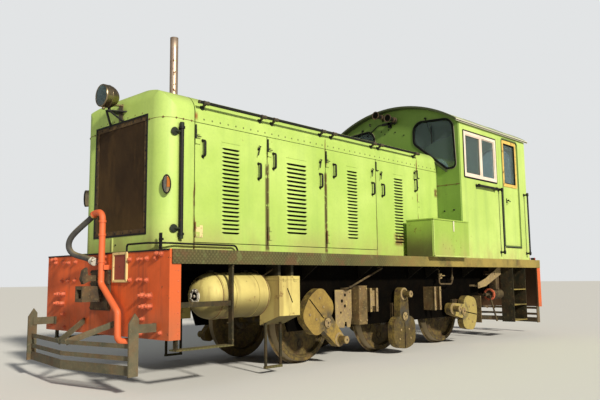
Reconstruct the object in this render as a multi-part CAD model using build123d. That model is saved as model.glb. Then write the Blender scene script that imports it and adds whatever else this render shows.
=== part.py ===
from build123d import *
import math
import os

# Frame: X forward along the track, Y to the left, Z up, in millimetres.
# The origin is at mid length on the centreline, level with the flange tips.

# Overall sizes
HALF_LENGTH = 4100.0
RAIL_TOP = 28.0
DECK_TOP = 1328.0
DECK_HALF_WIDTH = 1220.0
DECK_THICKNESS = 15.0
SEAT_GAP = 0.3

# Headstocks and valances
HEADSTOCK_PLATE = 25.0
HEADSTOCK_BOTTOM = 488.0
HEADSTOCK_HALF_WIDTH = 1205.0
HEADSTOCK_RETURN = 130.0
VALANCE_DEPTH = 123.0
VALANCE_THICKNESS = 12.0

# Wheelsets, with the places of the axles counted back from the front headstock
AXLE_STATIONS = {"front": 2406.0, "middle": 4037.0, "rear": 5652.0}
CRANK_ANGLES = {"front": 223.0, "middle": 90.0, "rear": 9.0}
QUARTERING = 90.0
BACK_TO_BACK = 997.0
WHEEL_WIDTH = 130.0
FLANGE_WIDTH = 30.0
TREAD_RADIUS = 480.0
FLANGE_RADIUS = TREAD_RADIUS + RAIL_TOP
RIM_INNER_RADIUS = 412.0
WEB_THICKNESS = 32.0
HUB_RADIUS = 135.0
AXLE_RADIUS = 75.0
JOURNAL_RADIUS = 70.0
RUNNING_FIT = 0.05
CRANK_INNER_Y = 930.0
CRANK_THICKNESS = 100.0
CRANK_THROW = 305.0
CRANK_HUB_RADIUS = 112.0
CRANK_EYE_RADIUS = 88.0
CRANK_PIN_RADIUS = 46.0
CRANK_PIN_LENGTH = 115.0
COUNTERWEIGHT_RADIUS = 435.0
COUNTERWEIGHT_WIDTH = 516.0
COUNTERWEIGHT_CORNER = 140.0
AXLE_CAP_RADIUS = 62.0
AXLE_CAP_HEIGHT = 12.0

# Outside frame plates
FRAME_OUTER_Y = 870.0
FRAME_THICKNESS = 25.0
FRAME_BOTTOM = 430.0
FRAME_END_BOTTOM = 1135.0
FRAME_DEEP_START = 1900.0
FRAME_DEEP_END = 6330.0
FRAME_STEP = 260.0
HORN_WIDTH = 230.0
HORN_TOP = 700.0
AXLEBOX_BOTTOM = 395.0
AXLEBOX_TOP = 690.0
AXLEBOX_INNER_Y = 800.0
AXLEBOX_OUTER_Y = 905.0
STRETCHER_STATIONS = (1500.0, 3225.0, 4845.0, 6700.0)
STRETCHER_BOTTOM = 620.0
STRETCHER_THICKNESS = 20.0
DRAWBEAM_Y = 300.0
DRAWBEAM_BOTTOM = 760.0
DRAWBEAM_DEPTH = 300.0

# Hood
HOOD_HALF_WIDTH = 800.0
HOOD_SIDE_TOP = DECK_TOP + 1484.0
HOOD_SHOULDER_MID_IN = 55.0
HOOD_SHOULDER_MID_UP = 128.0
HOOD_SHOULDER_END_IN = 180.0
HOOD_SHOULDER_END_UP = 196.0
HOOD_CROWN = HOOD_SIDE_TOP + 273.0
HOOD_SKIN = 6.0
PANEL_THICKNESS = 22.0
NOSE_FRONT = 190.0
NOSE_CORNER_RADIUS = 190.0
NOSE_TOP_RADIUS = 170.0
HOOD_SEAMS = (585.0, 1640.0, 2680.0, 3760.0, 4810.0)
DOOR_GAP = 12.0
DOOR_BOTTOM = DECK_TOP + 100.0
ROOF_SEAM = HOOD_SIDE_TOP - 110.0
DOOR_TOP = ROOF_SEAM - 8.0
POST_WIDTH = 60.0
POST_DEPTH = 35.0
MOVING_CLEARANCE = 5.0
GRILLE_HALF_WIDTH = 510.0
GRILLE_BOTTOM = DECK_TOP + 190.0
GRILLE_TOP = HOOD_SIDE_TOP - 57.0
GRILLE_THICKNESS = 14.0

# Door hinges, their axis a little behind the seam so that the next door's free edge passes
KNUCKLE_RADIUS = 8.0
HINGE_STAND_OFF = 12.0
HINGE_SET_BACK = KNUCKLE_RADIUS
HINGE_STRAP_LENGTH = 60.0
HINGE_PIN_RADIUS = 4.0
KNUCKLE_LENGTH = 50.0
KNUCKLE_GAP = 1.0
HINGE_WEB = 3.0
HINGE_HEIGHTS = (DOOR_BOTTOM + 132.0, DOOR_TOP - 154.0)

# Cab
CAB_FRONT = 5380.0
CAB_REAR = 7760.0
CAB_HALF_WIDTH = 1215.0
CAB_WALL = 40.0
ROOF_RADIUS = 2213.0
ROOF_CROWN = DECK_TOP + 2549.0
ROOF_THICKNESS = 30.0
ROOF_HALF_WIDTH = 1250.0
ROOF_FRONT = 5270.0
ROOF_REAR = 7840.0
FLOOR_TOP = DECK_TOP + 212.0
# Columns of openings: front and rear station, bottom and top
SIDE_WINDOW = (5540.0, 6600.0, FLOOR_TOP + 1075.0, FLOOR_TOP + 1790.0)
CAB_DOOR_OPENING = (6850.0, 7450.0, FLOOR_TOP + 8.0, FLOOR_TOP + 1873.0)
CAB_DOOR_THICKNESS = 35.0
CAB_DOOR_RECESS = 15.0
CAB_DOOR_FREE_GAP = 10.0
CAB_DOOR_GLASS = (6915.0, 7370.0, FLOOR_TOP + 1080.0, FLOOR_TOP + 1810.0)
CAB_HINGE_HEIGHTS = (FLOOR_TOP + 210.0, FLOOR_TOP + 1660.0)
GLASS_THICKNESS = 6.0

# Boxes, tanks and fittings
# Columns: front and rear station, inner and outer Y, bottom and top
TOOLBOX = (4380.0, 5379.0, HOOD_HALF_WIDTH + 75.0, HOOD_HALF_WIDTH + 525.0, DECK_TOP, DECK_TOP + 522.0)
TOOLBOX_WALL = 6.0
LID_THICKNESS = 18.0
TANK_RADIUS = 236.0
TANK_AXIS_Y = 895.0
TANK_AXIS_Z = 872.0
TANK_ENDS = (530.0, 1440.0)
TANK_FRONT_DOME = 180.0
TANK_REAR_DOME = 95.0
TANK_HANGERS = (760.0, 1240.0)
MANHOLE_RADIUS = 55.0
HANDRAIL_RADIUS = 17.0
HANDRAIL_Y = HOOD_HALF_WIDTH + 62.0
HANDRAIL_Z = HOOD_SIDE_TOP + 94.0
HANDRAIL_ENDS = (600.0, 4785.0)
STANCHION_STATIONS = (685.0, 1529.0, 1724.0, 2586.0, 2803.0, 3669.0, 3834.0, 4728.0)
STANCHION_RADIUS = 11.0
STANCHION_FOOT_DROP = 65.0
DOOR_RAIL_STATIONS = (6650.0, 7640.0)
DOOR_RAIL_LENGTH = 1090.0
DOOR_RAIL_Y = CAB_HALF_WIDTH + 70.0
DOOR_RAIL_RADIUS = 14.0
WINDOW_RAIL_STATIONS = (5871.0, 6522.0)
WINDOW_RAIL_Y = CAB_HALF_WIDTH + 50.0
WINDOW_RAIL_Z = FLOOR_TOP + 950.0
WINDOW_RAIL_RADIUS = 20.0
COUPLER_HEIGHT = 945.0
COUPLER_PIN_RADIUS = 20.0
PILOT_REACH = 430.0
STACK_STATION = 879.0
STACK_RADIUS = 48.0
STACK_TOP = HOOD_CROWN + 829.0


def at(station):
    """X of a place counted back from the front headstock's face."""
    return HALF_LENGTH - station


def block(x0, x1, y0, y1, z0, z1):
    size = (abs(x1 - x0), abs(y1 - y0), abs(z1 - z0))
    return Pos((x0 + x1) / 2, (y0 + y1) / 2, (z0 + z1) / 2) * Box(*size)


def rod(start, end, radius):
    """Round bar between two points."""
    start = Vector(*start)
    end = Vector(*end)
    plane = Plane(origin=start, z_dir=end - start)
    return extrude(plane * Circle(radius), (end - start).length)


def flat_bar(start, end, width, thickness, width_dir):
    """Rectangular bar between two points, its width along width_dir."""
    start = Vector(*start)
    end = Vector(*end)
    plane = Plane(origin=start, x_dir=Vector(*width_dir), z_dir=end - start)
    return extrude(plane * Rectangle(width, thickness), (end - start).length)


def rounded_face(points, radii):
    """Closed outline of straight sides with a round corner at each point."""
    edges = []
    ends = []
    count = len(points)
    for index, (point, radius) in enumerate(zip(points, radii)):
        corner = Vector(*point)
        to_last = (Vector(*points[index - 1]) - corner).normalized()
        to_next = (Vector(*points[(index + 1) % count]) - corner).normalized()
        half = math.radians(to_last.get_angle(to_next)) / 2
        reach = radius / math.tan(half)
        bisector = (to_last + to_next).normalized()
        middle = corner + bisector * (radius / math.sin(half) - radius)
        ends.append((corner + to_last * reach, corner + to_next * reach))
        edges.append(ThreePointArc(ends[-1][0], middle, ends[-1][1]))
    for index in range(count):
        edges.append(Line(ends[index][1], ends[(index + 1) % count][0]))
    return make_face(edges)


def mirrored(shape):
    return mirror(shape, Plane.XZ)


def turned(shape):
    """Copy at the other end of the vehicle, turned about the vertical."""
    return Rot(0, 0, 180) * shape


def both_sides(shapes):
    return list(shapes) + [mirrored(shape) for shape in shapes]


def both_ends(shapes):
    return list(shapes) + [turned(shape) for shape in shapes]


def solids_of(shapes):
    found = []
    for shape in shapes:
        found.extend(shape.solids())
    return found


def save(name, shapes):
    export_step(Compound(children=solids_of(shapes)), f"parts/{name}.step")


# Deck, headstocks and frames


def deck_plate():
    end = HALF_LENGTH - HEADSTOCK_PLATE
    return block(-end, end, -DECK_HALF_WIDTH, DECK_HALF_WIDTH, DECK_TOP - DECK_THICKNESS, DECK_TOP)


def valances():
    end = HALF_LENGTH - HEADSTOCK_PLATE - SEAT_GAP
    top = DECK_TOP - DECK_THICKNESS
    side = block(-end, end, DECK_HALF_WIDTH - VALANCE_THICKNESS, DECK_HALF_WIDTH, top - VALANCE_DEPTH, top)
    return both_sides([side])


def headstocks():
    inner = HALF_LENGTH - HEADSTOCK_PLATE
    plate = block(inner, HALF_LENGTH, -HEADSTOCK_HALF_WIDTH, HEADSTOCK_HALF_WIDTH, HEADSTOCK_BOTTOM, DECK_TOP)
    edge = HEADSTOCK_HALF_WIDTH - HEADSTOCK_PLATE
    under_deck = DECK_TOP - DECK_THICKNESS - VALANCE_DEPTH
    back = HALF_LENGTH - HEADSTOCK_RETURN
    side = block(back, inner - SEAT_GAP, edge, HEADSTOCK_HALF_WIDTH, HEADSTOCK_BOTTOM, under_deck - SEAT_GAP)
    return both_ends([plate, side, mirrored(side)])


def side_frames():
    end = HALF_LENGTH - HEADSTOCK_PLATE
    top = DECK_TOP - DECK_THICKNESS
    outline = [
        (end, top),
        (end, FRAME_END_BOTTOM),
        (at(FRAME_DEEP_START - FRAME_STEP), FRAME_END_BOTTOM),
        (at(FRAME_DEEP_START), FRAME_BOTTOM),
        (at(FRAME_DEEP_END), FRAME_BOTTOM),
        (at(FRAME_DEEP_END + FRAME_STEP), FRAME_END_BOTTOM),
        (-end, FRAME_END_BOTTOM),
        (-end, top),
    ]
    face = make_face(Polyline(*outline, close=True))
    plane = Plane(origin=(0, FRAME_OUTER_Y, 0), x_dir=(1, 0, 0), z_dir=(0, -1, 0))
    plate = extrude(plane * face, FRAME_THICKNESS)
    half = HORN_WIDTH / 2
    near = FRAME_OUTER_Y - FRAME_THICKNESS - 5
    far = FRAME_OUTER_Y + 5
    for station in AXLE_STATIONS.values():
        x = at(station)
        plate -= block(x - half, x + half, near, far, FRAME_BOTTOM - 10, HORN_TOP)
    return both_sides([plate])


def axleboxes():
    made = []
    half = HORN_WIDTH / 2 - SEAT_GAP
    for station in AXLE_STATIONS.values():
        x = at(station)
        box = block(x - half, x + half, AXLEBOX_INNER_Y, AXLEBOX_OUTER_Y, AXLEBOX_BOTTOM, AXLEBOX_TOP)
        bore = rod((x, AXLEBOX_INNER_Y - 10, FLANGE_RADIUS), (x, AXLEBOX_OUTER_Y + 10, FLANGE_RADIUS),
                   JOURNAL_RADIUS + RUNNING_FIT)
        made.append(box - bore)
    return both_sides(made)


def leaf_springs():
    """Stack of leaves on each axlebox, with its buckle and two hangers to the frame plate."""
    leaf_height = 11.0
    leaf_lengths = (820.0, 690.0, 560.0, 430.0, 300.0)
    inner = AXLEBOX_INNER_Y + 5
    outer = FRAME_OUTER_Y - FRAME_THICKNESS - 8
    made = []
    for station in AXLE_STATIONS.values():
        x = at(station)
        base = AXLEBOX_TOP + SEAT_GAP
        spring = block(x - 45, x + 45, inner, outer, base, base + 100)
        for level, length in enumerate(reversed(leaf_lengths)):
            low = base + 25 + level * leaf_height
            spring += block(x - length / 2, x + length / 2, inner, outer, low, low + leaf_height)
        top = base + 25 + len(leaf_lengths) * leaf_height
        for side in (-1, 1):
            hang = x + side * (leaf_lengths[0] / 2 - 25)
            frame_face = FRAME_OUTER_Y - FRAME_THICKNESS
            spring += block(hang - 20, hang + 20, inner, frame_face, top - leaf_height, top + 60)
        made.append(spring)
    return both_sides(made)


def frame_stretchers():
    made = []
    inner = FRAME_OUTER_Y - FRAME_THICKNESS
    top = DECK_TOP - DECK_THICKNESS
    half = STRETCHER_THICKNESS / 2
    for station in STRETCHER_STATIONS:
        x = at(station)
        low = STRETCHER_BOTTOM
        if station < FRAME_DEEP_START or station > FRAME_DEEP_END:
            low = DRAWBEAM_BOTTOM
        made.append(block(x - half, x + half, -inner, inner, low, top))
    beam_end = HALF_LENGTH - HEADSTOCK_PLATE
    front_beam = (beam_end, at(STRETCHER_STATIONS[0]) + half)
    rear_beam = (at(STRETCHER_STATIONS[-1]) - half, -beam_end)
    for first, last in (front_beam, rear_beam):
        for side in (-1, 1):
            y = side * DRAWBEAM_Y
            made.append(block(first, last, y - 12, y + 12, DRAWBEAM_BOTTOM, DRAWBEAM_BOTTOM + DRAWBEAM_DEPTH))
    return made


def frame_brackets():
    """Plates and gussets that stand out from the frame plates between the cranks."""
    face = FRAME_OUTER_Y
    under = DECK_TOP - DECK_THICKNESS
    made = []
    # Columns: station, reach outward, bottom, top, thickness
    plates = (
        (3125.0, 150.0, 450.0, 940.0, 170.0),
        (3290.0, 150.0, 600.0, 905.0, 24.0),
        (3420.0, 150.0, 600.0, 905.0, 24.0),
        (4790.0, 190.0, 560.0, 900.0, 24.0),
        (4930.0, 190.0, 560.0, 900.0, 24.0),
        (6230.0, 160.0, 300.0, 730.0, 20.0),
    )
    for station, reach, low, high, thick in plates:
        x = at(station)
        made.append(block(x - thick / 2, x + thick / 2, face, face + reach, low, high))
    # Deck brackets: station of each triangular gusset under the running board
    for station in (2150.0, 3225.0, 4400.0, 4860.0, 5950.0):
        x = at(station)
        outline = Polyline((face, under), (DECK_HALF_WIDTH - VALANCE_THICKNESS, under),
                           (DECK_HALF_WIDTH - VALANCE_THICKNESS, under - 60), (face, under - 290), close=True)
        plane = Plane(origin=(x - 6, 0, 0), x_dir=(0, 1, 0), z_dir=(1, 0, 0))
        made.append(extrude(plane * make_face(outline), 12))
    return both_sides(made)


# Wheelsets


def wheel():
    """Right-hand profile turned about the axle, at the left rail."""
    back = BACK_TO_BACK / 2
    front = back + WHEEL_WIDTH
    web = back + WHEEL_WIDTH / 2
    bore = AXLE_RADIUS + RUNNING_FIT
    outline = [
        (bore, back - 12),
        (HUB_RADIUS, back - 12),
        (HUB_RADIUS + 10, web - WEB_THICKNESS / 2),
        (RIM_INNER_RADIUS - 12, web - WEB_THICKNESS / 2),
        (RIM_INNER_RADIUS, back),
        (FLANGE_RADIUS - 8, back),
        (FLANGE_RADIUS, back + 8),
        (FLANGE_RADIUS, back + 16),
        (TREAD_RADIUS + 4, back + FLANGE_WIDTH),
        (TREAD_RADIUS, back + FLANGE_WIDTH + 12),
        (TREAD_RADIUS - 4, front - 6),
        (TREAD_RADIUS - 10, front),
        (RIM_INNER_RADIUS, front),
        (RIM_INNER_RADIUS - 12, web + WEB_THICKNESS / 2),
        (HUB_RADIUS + 10, web + WEB_THICKNESS / 2),
        (HUB_RADIUS, front + 20),
        (bore, front + 20),
    ]
    face = Plane.XY * make_face(Polyline(*outline, close=True))
    return revolve(face, Axis.Y)


def crank(angle):
    """Fly crank with its counterweight on the left end of an axle, the pin at an angle from X up."""
    depth = CRANK_THICKNESS
    plane = Plane(origin=(0, CRANK_INNER_Y + depth, 0), x_dir=(1, 0, 0), z_dir=(0, -1, 0))
    arm = extrude(plane * make_hull([*Circle(CRANK_HUB_RADIUS).edges(),
                                     *(Pos(CRANK_THROW, 0) * Circle(CRANK_EYE_RADIUS)).edges()]), depth)
    disc = Circle(COUNTERWEIGHT_RADIUS)
    paddle = disc & (Pos(-COUNTERWEIGHT_RADIUS / 2, 0) * Rectangle(COUNTERWEIGHT_RADIUS, COUNTERWEIGHT_WIDTH))
    paddle = fillet(paddle.vertices(), COUNTERWEIGHT_CORNER)
    weight = extrude(plane * paddle, depth)
    outer = CRANK_INNER_Y + depth
    cap = rod((0, outer, 0), (0, outer + AXLE_CAP_HEIGHT, 0), AXLE_CAP_RADIUS)
    cap -= rod((0, outer + AXLE_CAP_HEIGHT - 8, 0), (0, outer + AXLE_CAP_HEIGHT + 1, 0), 11)
    pin = rod((CRANK_THROW, outer, 0), (CRANK_THROW, outer + CRANK_PIN_LENGTH, 0), CRANK_PIN_RADIUS)
    collar = rod((CRANK_THROW, outer, 0), (CRANK_THROW, outer + 14, 0), CRANK_PIN_RADIUS + 16)
    return Rot(0, -angle, 0) * (arm + weight + cap + pin + collar)


def crank_axle(angle):
    journal_start = AXLEBOX_INNER_Y - 40
    axle = rod((0, -journal_start, 0), (0, journal_start, 0), AXLE_RADIUS)
    axle += rod((0, -CRANK_INNER_Y - 1, 0), (0, CRANK_INNER_Y + 1, 0), JOURNAL_RADIUS)
    left = crank(angle)
    right = mirrored(crank(angle + QUARTERING))
    return axle + left + right


SHOE_GAP = 10.0
SHOE_DEPTH = 50.0
SHOE_WIDTH = 80.0
SHOE_HEIGHT = 330.0
SHOE_HANGER_WIDTH = 40.0
SHOE_HANGER_THICKNESS = 30.0
SHOE_HANGER_TOP = 1120.0
BRAKE_BEAM_RADIUS = 18.0
BRAKE_CYLINDER_STATION = 6860.0
BRAKE_CYLINDER_Y = 960.0
BRAKE_CYLINDER_Z = 740.0
BRAKE_CYLINDER_RADIUS = 78.0
BRAKE_CYLINDER_LENGTH = 360.0


def brake_shoes():
    """Shoe, hanger and top pin beside each wheel, and a beam across each pair."""
    made = []
    wheel_middle = BACK_TO_BACK / 2 + FLANGE_WIDTH + (WHEEL_WIDTH - FLANGE_WIDTH) / 2
    hanger_half = SHOE_HANGER_THICKNESS / 2
    pin_height = SHOE_HANGER_TOP - SHOE_HANGER_WIDTH
    beam_height = FLANGE_RADIUS - 20
    for name, side in (("front", -1), ("middle", -1), ("rear", 1)):
        x = at(AXLE_STATIONS[name])
        inner = TREAD_RADIUS + SHOE_GAP
        outer = inner + SHOE_DEPTH
        ring = Circle(outer) - Circle(inner)
        cut = Pos(side * outer, 0) * Rectangle(outer, SHOE_HEIGHT)
        origin = (x, wheel_middle + SHOE_WIDTH / 2, FLANGE_RADIUS)
        plane = Plane(origin=origin, x_dir=(1, 0, 0), z_dir=(0, -1, 0))
        shoe = extrude(plane * (ring & cut), SHOE_WIDTH)
        near = x + side * (outer + SEAT_GAP)
        far = near + side * SHOE_HANGER_WIDTH
        hanger = block(near, far, wheel_middle - hanger_half, wheel_middle + hanger_half,
                       FLANGE_RADIUS - 60, SHOE_HANGER_TOP)
        hang_x = (near + far) / 2
        start = wheel_middle + hanger_half + SEAT_GAP
        pin = rod((hang_x, start, pin_height), (hang_x, FRAME_OUTER_Y - FRAME_THICKNESS, pin_height), 22)
        made.extend(both_sides([shoe, hanger, pin]))
        reach = wheel_middle - hanger_half - SEAT_GAP
        made.append(rod((hang_x, -reach, beam_height), (hang_x, reach, beam_height), BRAKE_BEAM_RADIUS))
    return made


def brake_cylinders():
    """Cylinder with its push rod under a hanger from the running board."""
    x = at(BRAKE_CYLINDER_STATION)
    y = BRAKE_CYLINDER_Y
    z = BRAKE_CYLINDER_Z
    half = BRAKE_CYLINDER_LENGTH / 2
    body = rod((x + half, y, z), (x - half, y, z), BRAKE_CYLINDER_RADIUS)
    body += rod((x + half + 12, y, z), (x + half - 10, y, z), BRAKE_CYLINDER_RADIUS + 18)
    body += rod((x + half + 180, y, z), (x + half + 10, y, z), 20)
    hanger_low = z + BRAKE_CYLINDER_RADIUS + SEAT_GAP
    hanger = block(x - 60, x + 60, y - 60, y + 60, hanger_low, DECK_TOP - DECK_THICKNESS)
    return both_sides([body, hanger])


# Equipment under the running boards


def air_tanks():
    front = at(TANK_ENDS[0])
    rear = at(TANK_ENDS[1])
    middle = (front + rear) / 2
    half = (front - rear) / 2
    front_dome = half - TANK_FRONT_DOME
    rear_dome = half - TANK_REAR_DOME
    front_mid = (TANK_RADIUS * 0.78, front_dome + TANK_FRONT_DOME * 0.68)
    rear_mid = (TANK_RADIUS * 0.78, -rear_dome - TANK_REAR_DOME * 0.68)
    profile = make_face([
        Line((0, -half), (0, half)),
        Line((0, half), (MANHOLE_RADIUS, half)),
        ThreePointArc((MANHOLE_RADIUS, half), front_mid, (TANK_RADIUS, front_dome)),
        Line((TANK_RADIUS, front_dome), (TANK_RADIUS, -rear_dome)),
        ThreePointArc((TANK_RADIUS, -rear_dome), rear_mid, (MANHOLE_RADIUS, -half)),
        Line((MANHOLE_RADIUS, -half), (0, -half)),
    ])
    tank = Pos(middle, TANK_AXIS_Y, TANK_AXIS_Z) * Rot(0, 0, -90) * revolve(profile, Axis.Y)
    for station in TANK_HANGERS:
        x = at(station)
        top = TANK_AXIS_Z + TANK_RADIUS - 20
        tank += block(x - 30, x + 30, TANK_AXIS_Y - 70, FRAME_OUTER_Y - SEAT_GAP, top, FRAME_END_BOTTOM)
    return both_sides([tank])


# Columns: front station at the outer face, rear station, outer Y, outer and inner bottom, top
SIDE_BOX = (1500.0, 1825.0, 1130.0, 635.0, 530.0, 1068.0)
SIDE_BOX_SKEW = 50.0


def side_boxes():
    """Box whose underside falls towards the frame and whose front face is skewed."""
    start, end, outer, low, inner_low, high = SIDE_BOX
    front = at(start)
    rear = at(end)
    inner = FRAME_OUTER_Y + SEAT_GAP
    plan = Polyline((rear, inner), (front + SIDE_BOX_SKEW, inner), (front, outer), (rear, outer), close=True)
    section = Polyline((inner, inner_low), (outer, low), (outer, high), (inner, high), close=True)
    body = extrude(Pos(0, 0, inner_low) * make_face(plan), high - inner_low)
    across = Plane(origin=(rear, 0, 0), x_dir=(0, 1, 0), z_dir=(1, 0, 0))
    body &= extrude(across * make_face(section), front + SIDE_BOX_SKEW - rear)
    strap = block(front - 80, front - 40, inner, outer - 60, high, DECK_TOP - DECK_THICKNESS)
    other = block(rear + 40, rear + 80, inner, outer - 60, high, DECK_TOP - DECK_THICKNESS)
    return both_sides([body + strap + other])


STEP_OUTER_Y = 1205.0
FRONT_STEP = (110.0, 780.0, 395.0)
CAB_STEP = (7080.0, 7560.0)
CAB_TREADS = (300.0, 560.0, 820.0)
GUARD = (1480.0, 1710.0, 88.0)
GUARD_Y = 930.0


def step_hangers():
    """Flat bars that hang the steps from the deck edge."""
    made = []
    under = DECK_TOP - DECK_THICKNESS
    start, end, low = FRONT_STEP
    post = block(at(end) - 12, at(end) + 12, STEP_OUTER_Y - 70, STEP_OUTER_Y - 14, low, under)
    front_post = block(at(start) - 12, at(start) + 12, STEP_OUTER_Y - 70, STEP_OUTER_Y - 26, low, under)
    rail_y = STEP_OUTER_Y - 34
    inset = 12 + SEAT_GAP
    rail = flat_bar((at(start) - inset, rail_y, 804), (at(end) + inset, rail_y, 804), 12, 50, (0, 1, 0))
    made.extend([post, front_post, rail])
    for station in CAB_STEP:
        x = at(station)
        made.append(block(x - 6, x + 6, STEP_OUTER_Y - 230, STEP_OUTER_Y - 2, CAB_TREADS[0] - 30, under))
    start, end, low = GUARD
    outer, outer_low, inner_low = SIDE_BOX[2:5]
    slope = (outer_low - inner_low) / (outer - FRAME_OUTER_Y)
    guard_top = inner_low + slope * (GUARD_Y - 10 - FRAME_OUTER_Y) - 2 * SEAT_GAP
    for station in (start, end):
        x = at(station)
        made.append(block(x - 14, x + 14, GUARD_Y - 10, GUARD_Y + 10, low, guard_top))
    return both_sides(made)


def step_treads():
    made = []
    start, end, low = FRONT_STEP
    inner = STEP_OUTER_Y - 130
    outer = STEP_OUTER_Y - 10
    made.append(block(at(start) + 12, at(end) - 12, inner, outer, low - 14, low - SEAT_GAP))
    first = at(CAB_STEP[0]) - 6 - SEAT_GAP
    last = at(CAB_STEP[1]) + 6 + SEAT_GAP
    for height in CAB_TREADS:
        made.append(block(first, last, STEP_OUTER_Y - 230, STEP_OUTER_Y, height - 12, height))
    start, end, low = GUARD
    made.append(block(at(start) + 14, at(end) - 14, GUARD_Y - 20, GUARD_Y + 20, low - 26, low - SEAT_GAP))
    return both_sides(made)


# Pilots, couplers and brake pipes


def pilot():
    """Shallow V of bars ahead of the headstock, between two flat posts."""
    face = HALF_LENGTH
    post_x = face + 250
    post_y = 1010.0
    post_thickness = 18.0
    tip_x = face + PILOT_REACH
    post_outline = Polyline((post_x - 50, 180), (post_x + 50, 180), (post_x + 50, 650), (post_x - 10, 740),
                            (post_x - 50, 690), close=True)
    plane = Plane(origin=(0, post_y + post_thickness, 0), x_dir=(1, 0, 0), z_dir=(0, -1, 0))
    post = extrude(plane * make_face(post_outline), post_thickness)
    arm = block(face, post_x, post_y - 12, post_y - SEAT_GAP, 560, 640)
    arm += block(face, face + 14, post_y - 52, post_y - 12, 560, 640)
    brace = flat_bar((tip_x - 20, 70, 440), (face - 2, 330, 620), 60, 14, (0, 0, 1))
    half = [post, arm]
    reach = block(face, tip_x, SEAT_GAP, post_y - SEAT_GAP, 0, 900)
    # Columns: height of the bar's middle, its depth and its thickness
    for height, depth, thick in ((228.0, 86.0, 16.0), (335.0, 40.0, 16.0), (445.0, 40.0, 16.0)):
        ends = ((post_x, post_y + 4, height), (tip_x - thick, 0, height))
        half.append(flat_bar(*ends, depth, thick, (0, 0, 1)) & reach)
        brace -= flat_bar(*ends, depth + 2 * SEAT_GAP, thick + 2 * SEAT_GAP, (0, 0, 1))
    brace &= block(face, tip_x, SEAT_GAP, 900, 0, 900)
    half.append(brace.solids().sort_by(SortBy.VOLUME)[-1])
    return both_sides(half)


def coupler():
    """Centre pocket with a vertical pin hole, and a drawhook above it."""
    face = HALF_LENGTH
    z = COUPLER_HEIGHT
    body = block(face, face + 25, -170, 170, z - 200, z + 190)
    body += block(face + 25, face + 250, -72, 72, z - 120, z + 40)
    body -= block(face + 90, face + 260, -50, 50, z - 85, z + 5)
    pin_x = face + 185
    body -= rod((pin_x, 0, z - 130), (pin_x, 0, z + 50), COUPLER_PIN_RADIUS)
    # Columns: reach ahead of the headstock and height over the coupler's middle
    corners = ((20, 90), (150, 90), (210, 60), (235, 110), (215, 200), (175, 230), (165, 150), (20, 150))
    hook = Polyline(*[(face + ahead, z + up) for ahead, up in corners], close=True)
    plane = Plane(origin=(0, 27, 0), x_dir=(1, 0, 0), z_dir=(0, -1, 0))
    return body + extrude(plane * make_face(hook), 54)


PIPE_RADIUS = 33.0
PIPE_X = HALF_LENGTH + 60.0
PIPE_Y = 100.0
PIPE_TOP = 1750.0
PIPE_END = (PIPE_X, -95.0, PIPE_TOP - 25.0)
HOSE_RADIUS = 31.0
HOSE_PARKED_END = (HALF_LENGTH + 76.0, -67.0, 1249.0)
HOSE_ROUTE = (
    (4160.0, -95.0, 1725.0),
    (4160.0, -140.0, 1700.0),
    (4171.0, -182.0, 1673.0),
    (4192.0, -223.0, 1639.0),
    (4218.0, -263.0, 1599.0),
    (4246.0, -299.0, 1557.0),
    (4270.0, -329.0, 1515.0),
    (4286.0, -350.0, 1470.0),
    (4292.0, -357.0, 1424.0),
    (4288.0, -352.0, 1382.0),
    (4274.0, -334.0, 1346.0),
    (4253.0, -308.0, 1321.0),
    (4228.0, -273.0, 1305.0),
    (4204.0, -228.0, 1293.0),
    (4187.0, -176.0, 1280.0),
    (4179.0, -121.0, 1265.0),
    (4176.0, -67.0, 1249.0),
)


def brake_pipe():
    """Standpipe with its gooseneck on a headstock."""
    x = PIPE_X
    start = Vector(*PIPE_END)
    rise = Vector(x, start.Y + 45, PIPE_TOP)
    # Corners under the gooseneck: down to the first bend, across, down and back under the headstock
    lower = ((x, PIPE_Y, 1010), (x, 430, 730), (x, 440, 440), (x - 150, 440, 440))
    points = [start, rise, Vector(x, PIPE_Y, PIPE_TOP)] + [Vector(*point) for point in lower]
    path = FilletPolyline(*points, radius=[60, 80, 60, 60, 60])
    pipe = sweep(Plane(origin=start, z_dir=rise - start) * Circle(PIPE_RADIUS), path=path)
    pipe += rod(start, start + (rise - start).normalized() * 30, PIPE_RADIUS + 6)
    for height in (1225.0, 1500.0, 1640.0):
        pipe += rod((x, PIPE_Y, height), (x, PIPE_Y, height + 22), PIPE_RADIUS + 6)
    clamp = block(HALF_LENGTH, x, PIPE_Y - 50, PIPE_Y + 50, 1150, 1200)
    return pipe + clamp


def hose_socket():
    """Dummy socket on the headstock that parks the hose's end."""
    end = Vector(*HOSE_PARKED_END)
    way = (Vector(*HOSE_ROUTE[-1]) - Vector(*HOSE_ROUTE[-2])).normalized()
    body = rod(end, end + way * 62, HOSE_RADIUS + 7)
    return body + block(HALF_LENGTH, end.X - 12, end.Y + 16, end.Y + 56, end.Z - 34, end.Z + 10)


def hose_tube():
    """Hose of straight runs joined by tangent arcs."""
    points = [Vector(*point) for point in HOSE_ROUTE]
    radii = []
    for last, here, following in zip(points, points[1:], points[2:]):
        into = here - last
        out = following - here
        turn = math.radians(into.get_angle(out))
        radii.append(0.45 * min(into.length, out.length) / math.tan(turn / 2))
    path = FilletPolyline(*points, radius=radii)
    return sweep(Plane(origin=points[0], z_dir=points[1] - points[0]) * Circle(HOSE_RADIUS), path=path)


# Hood


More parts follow.
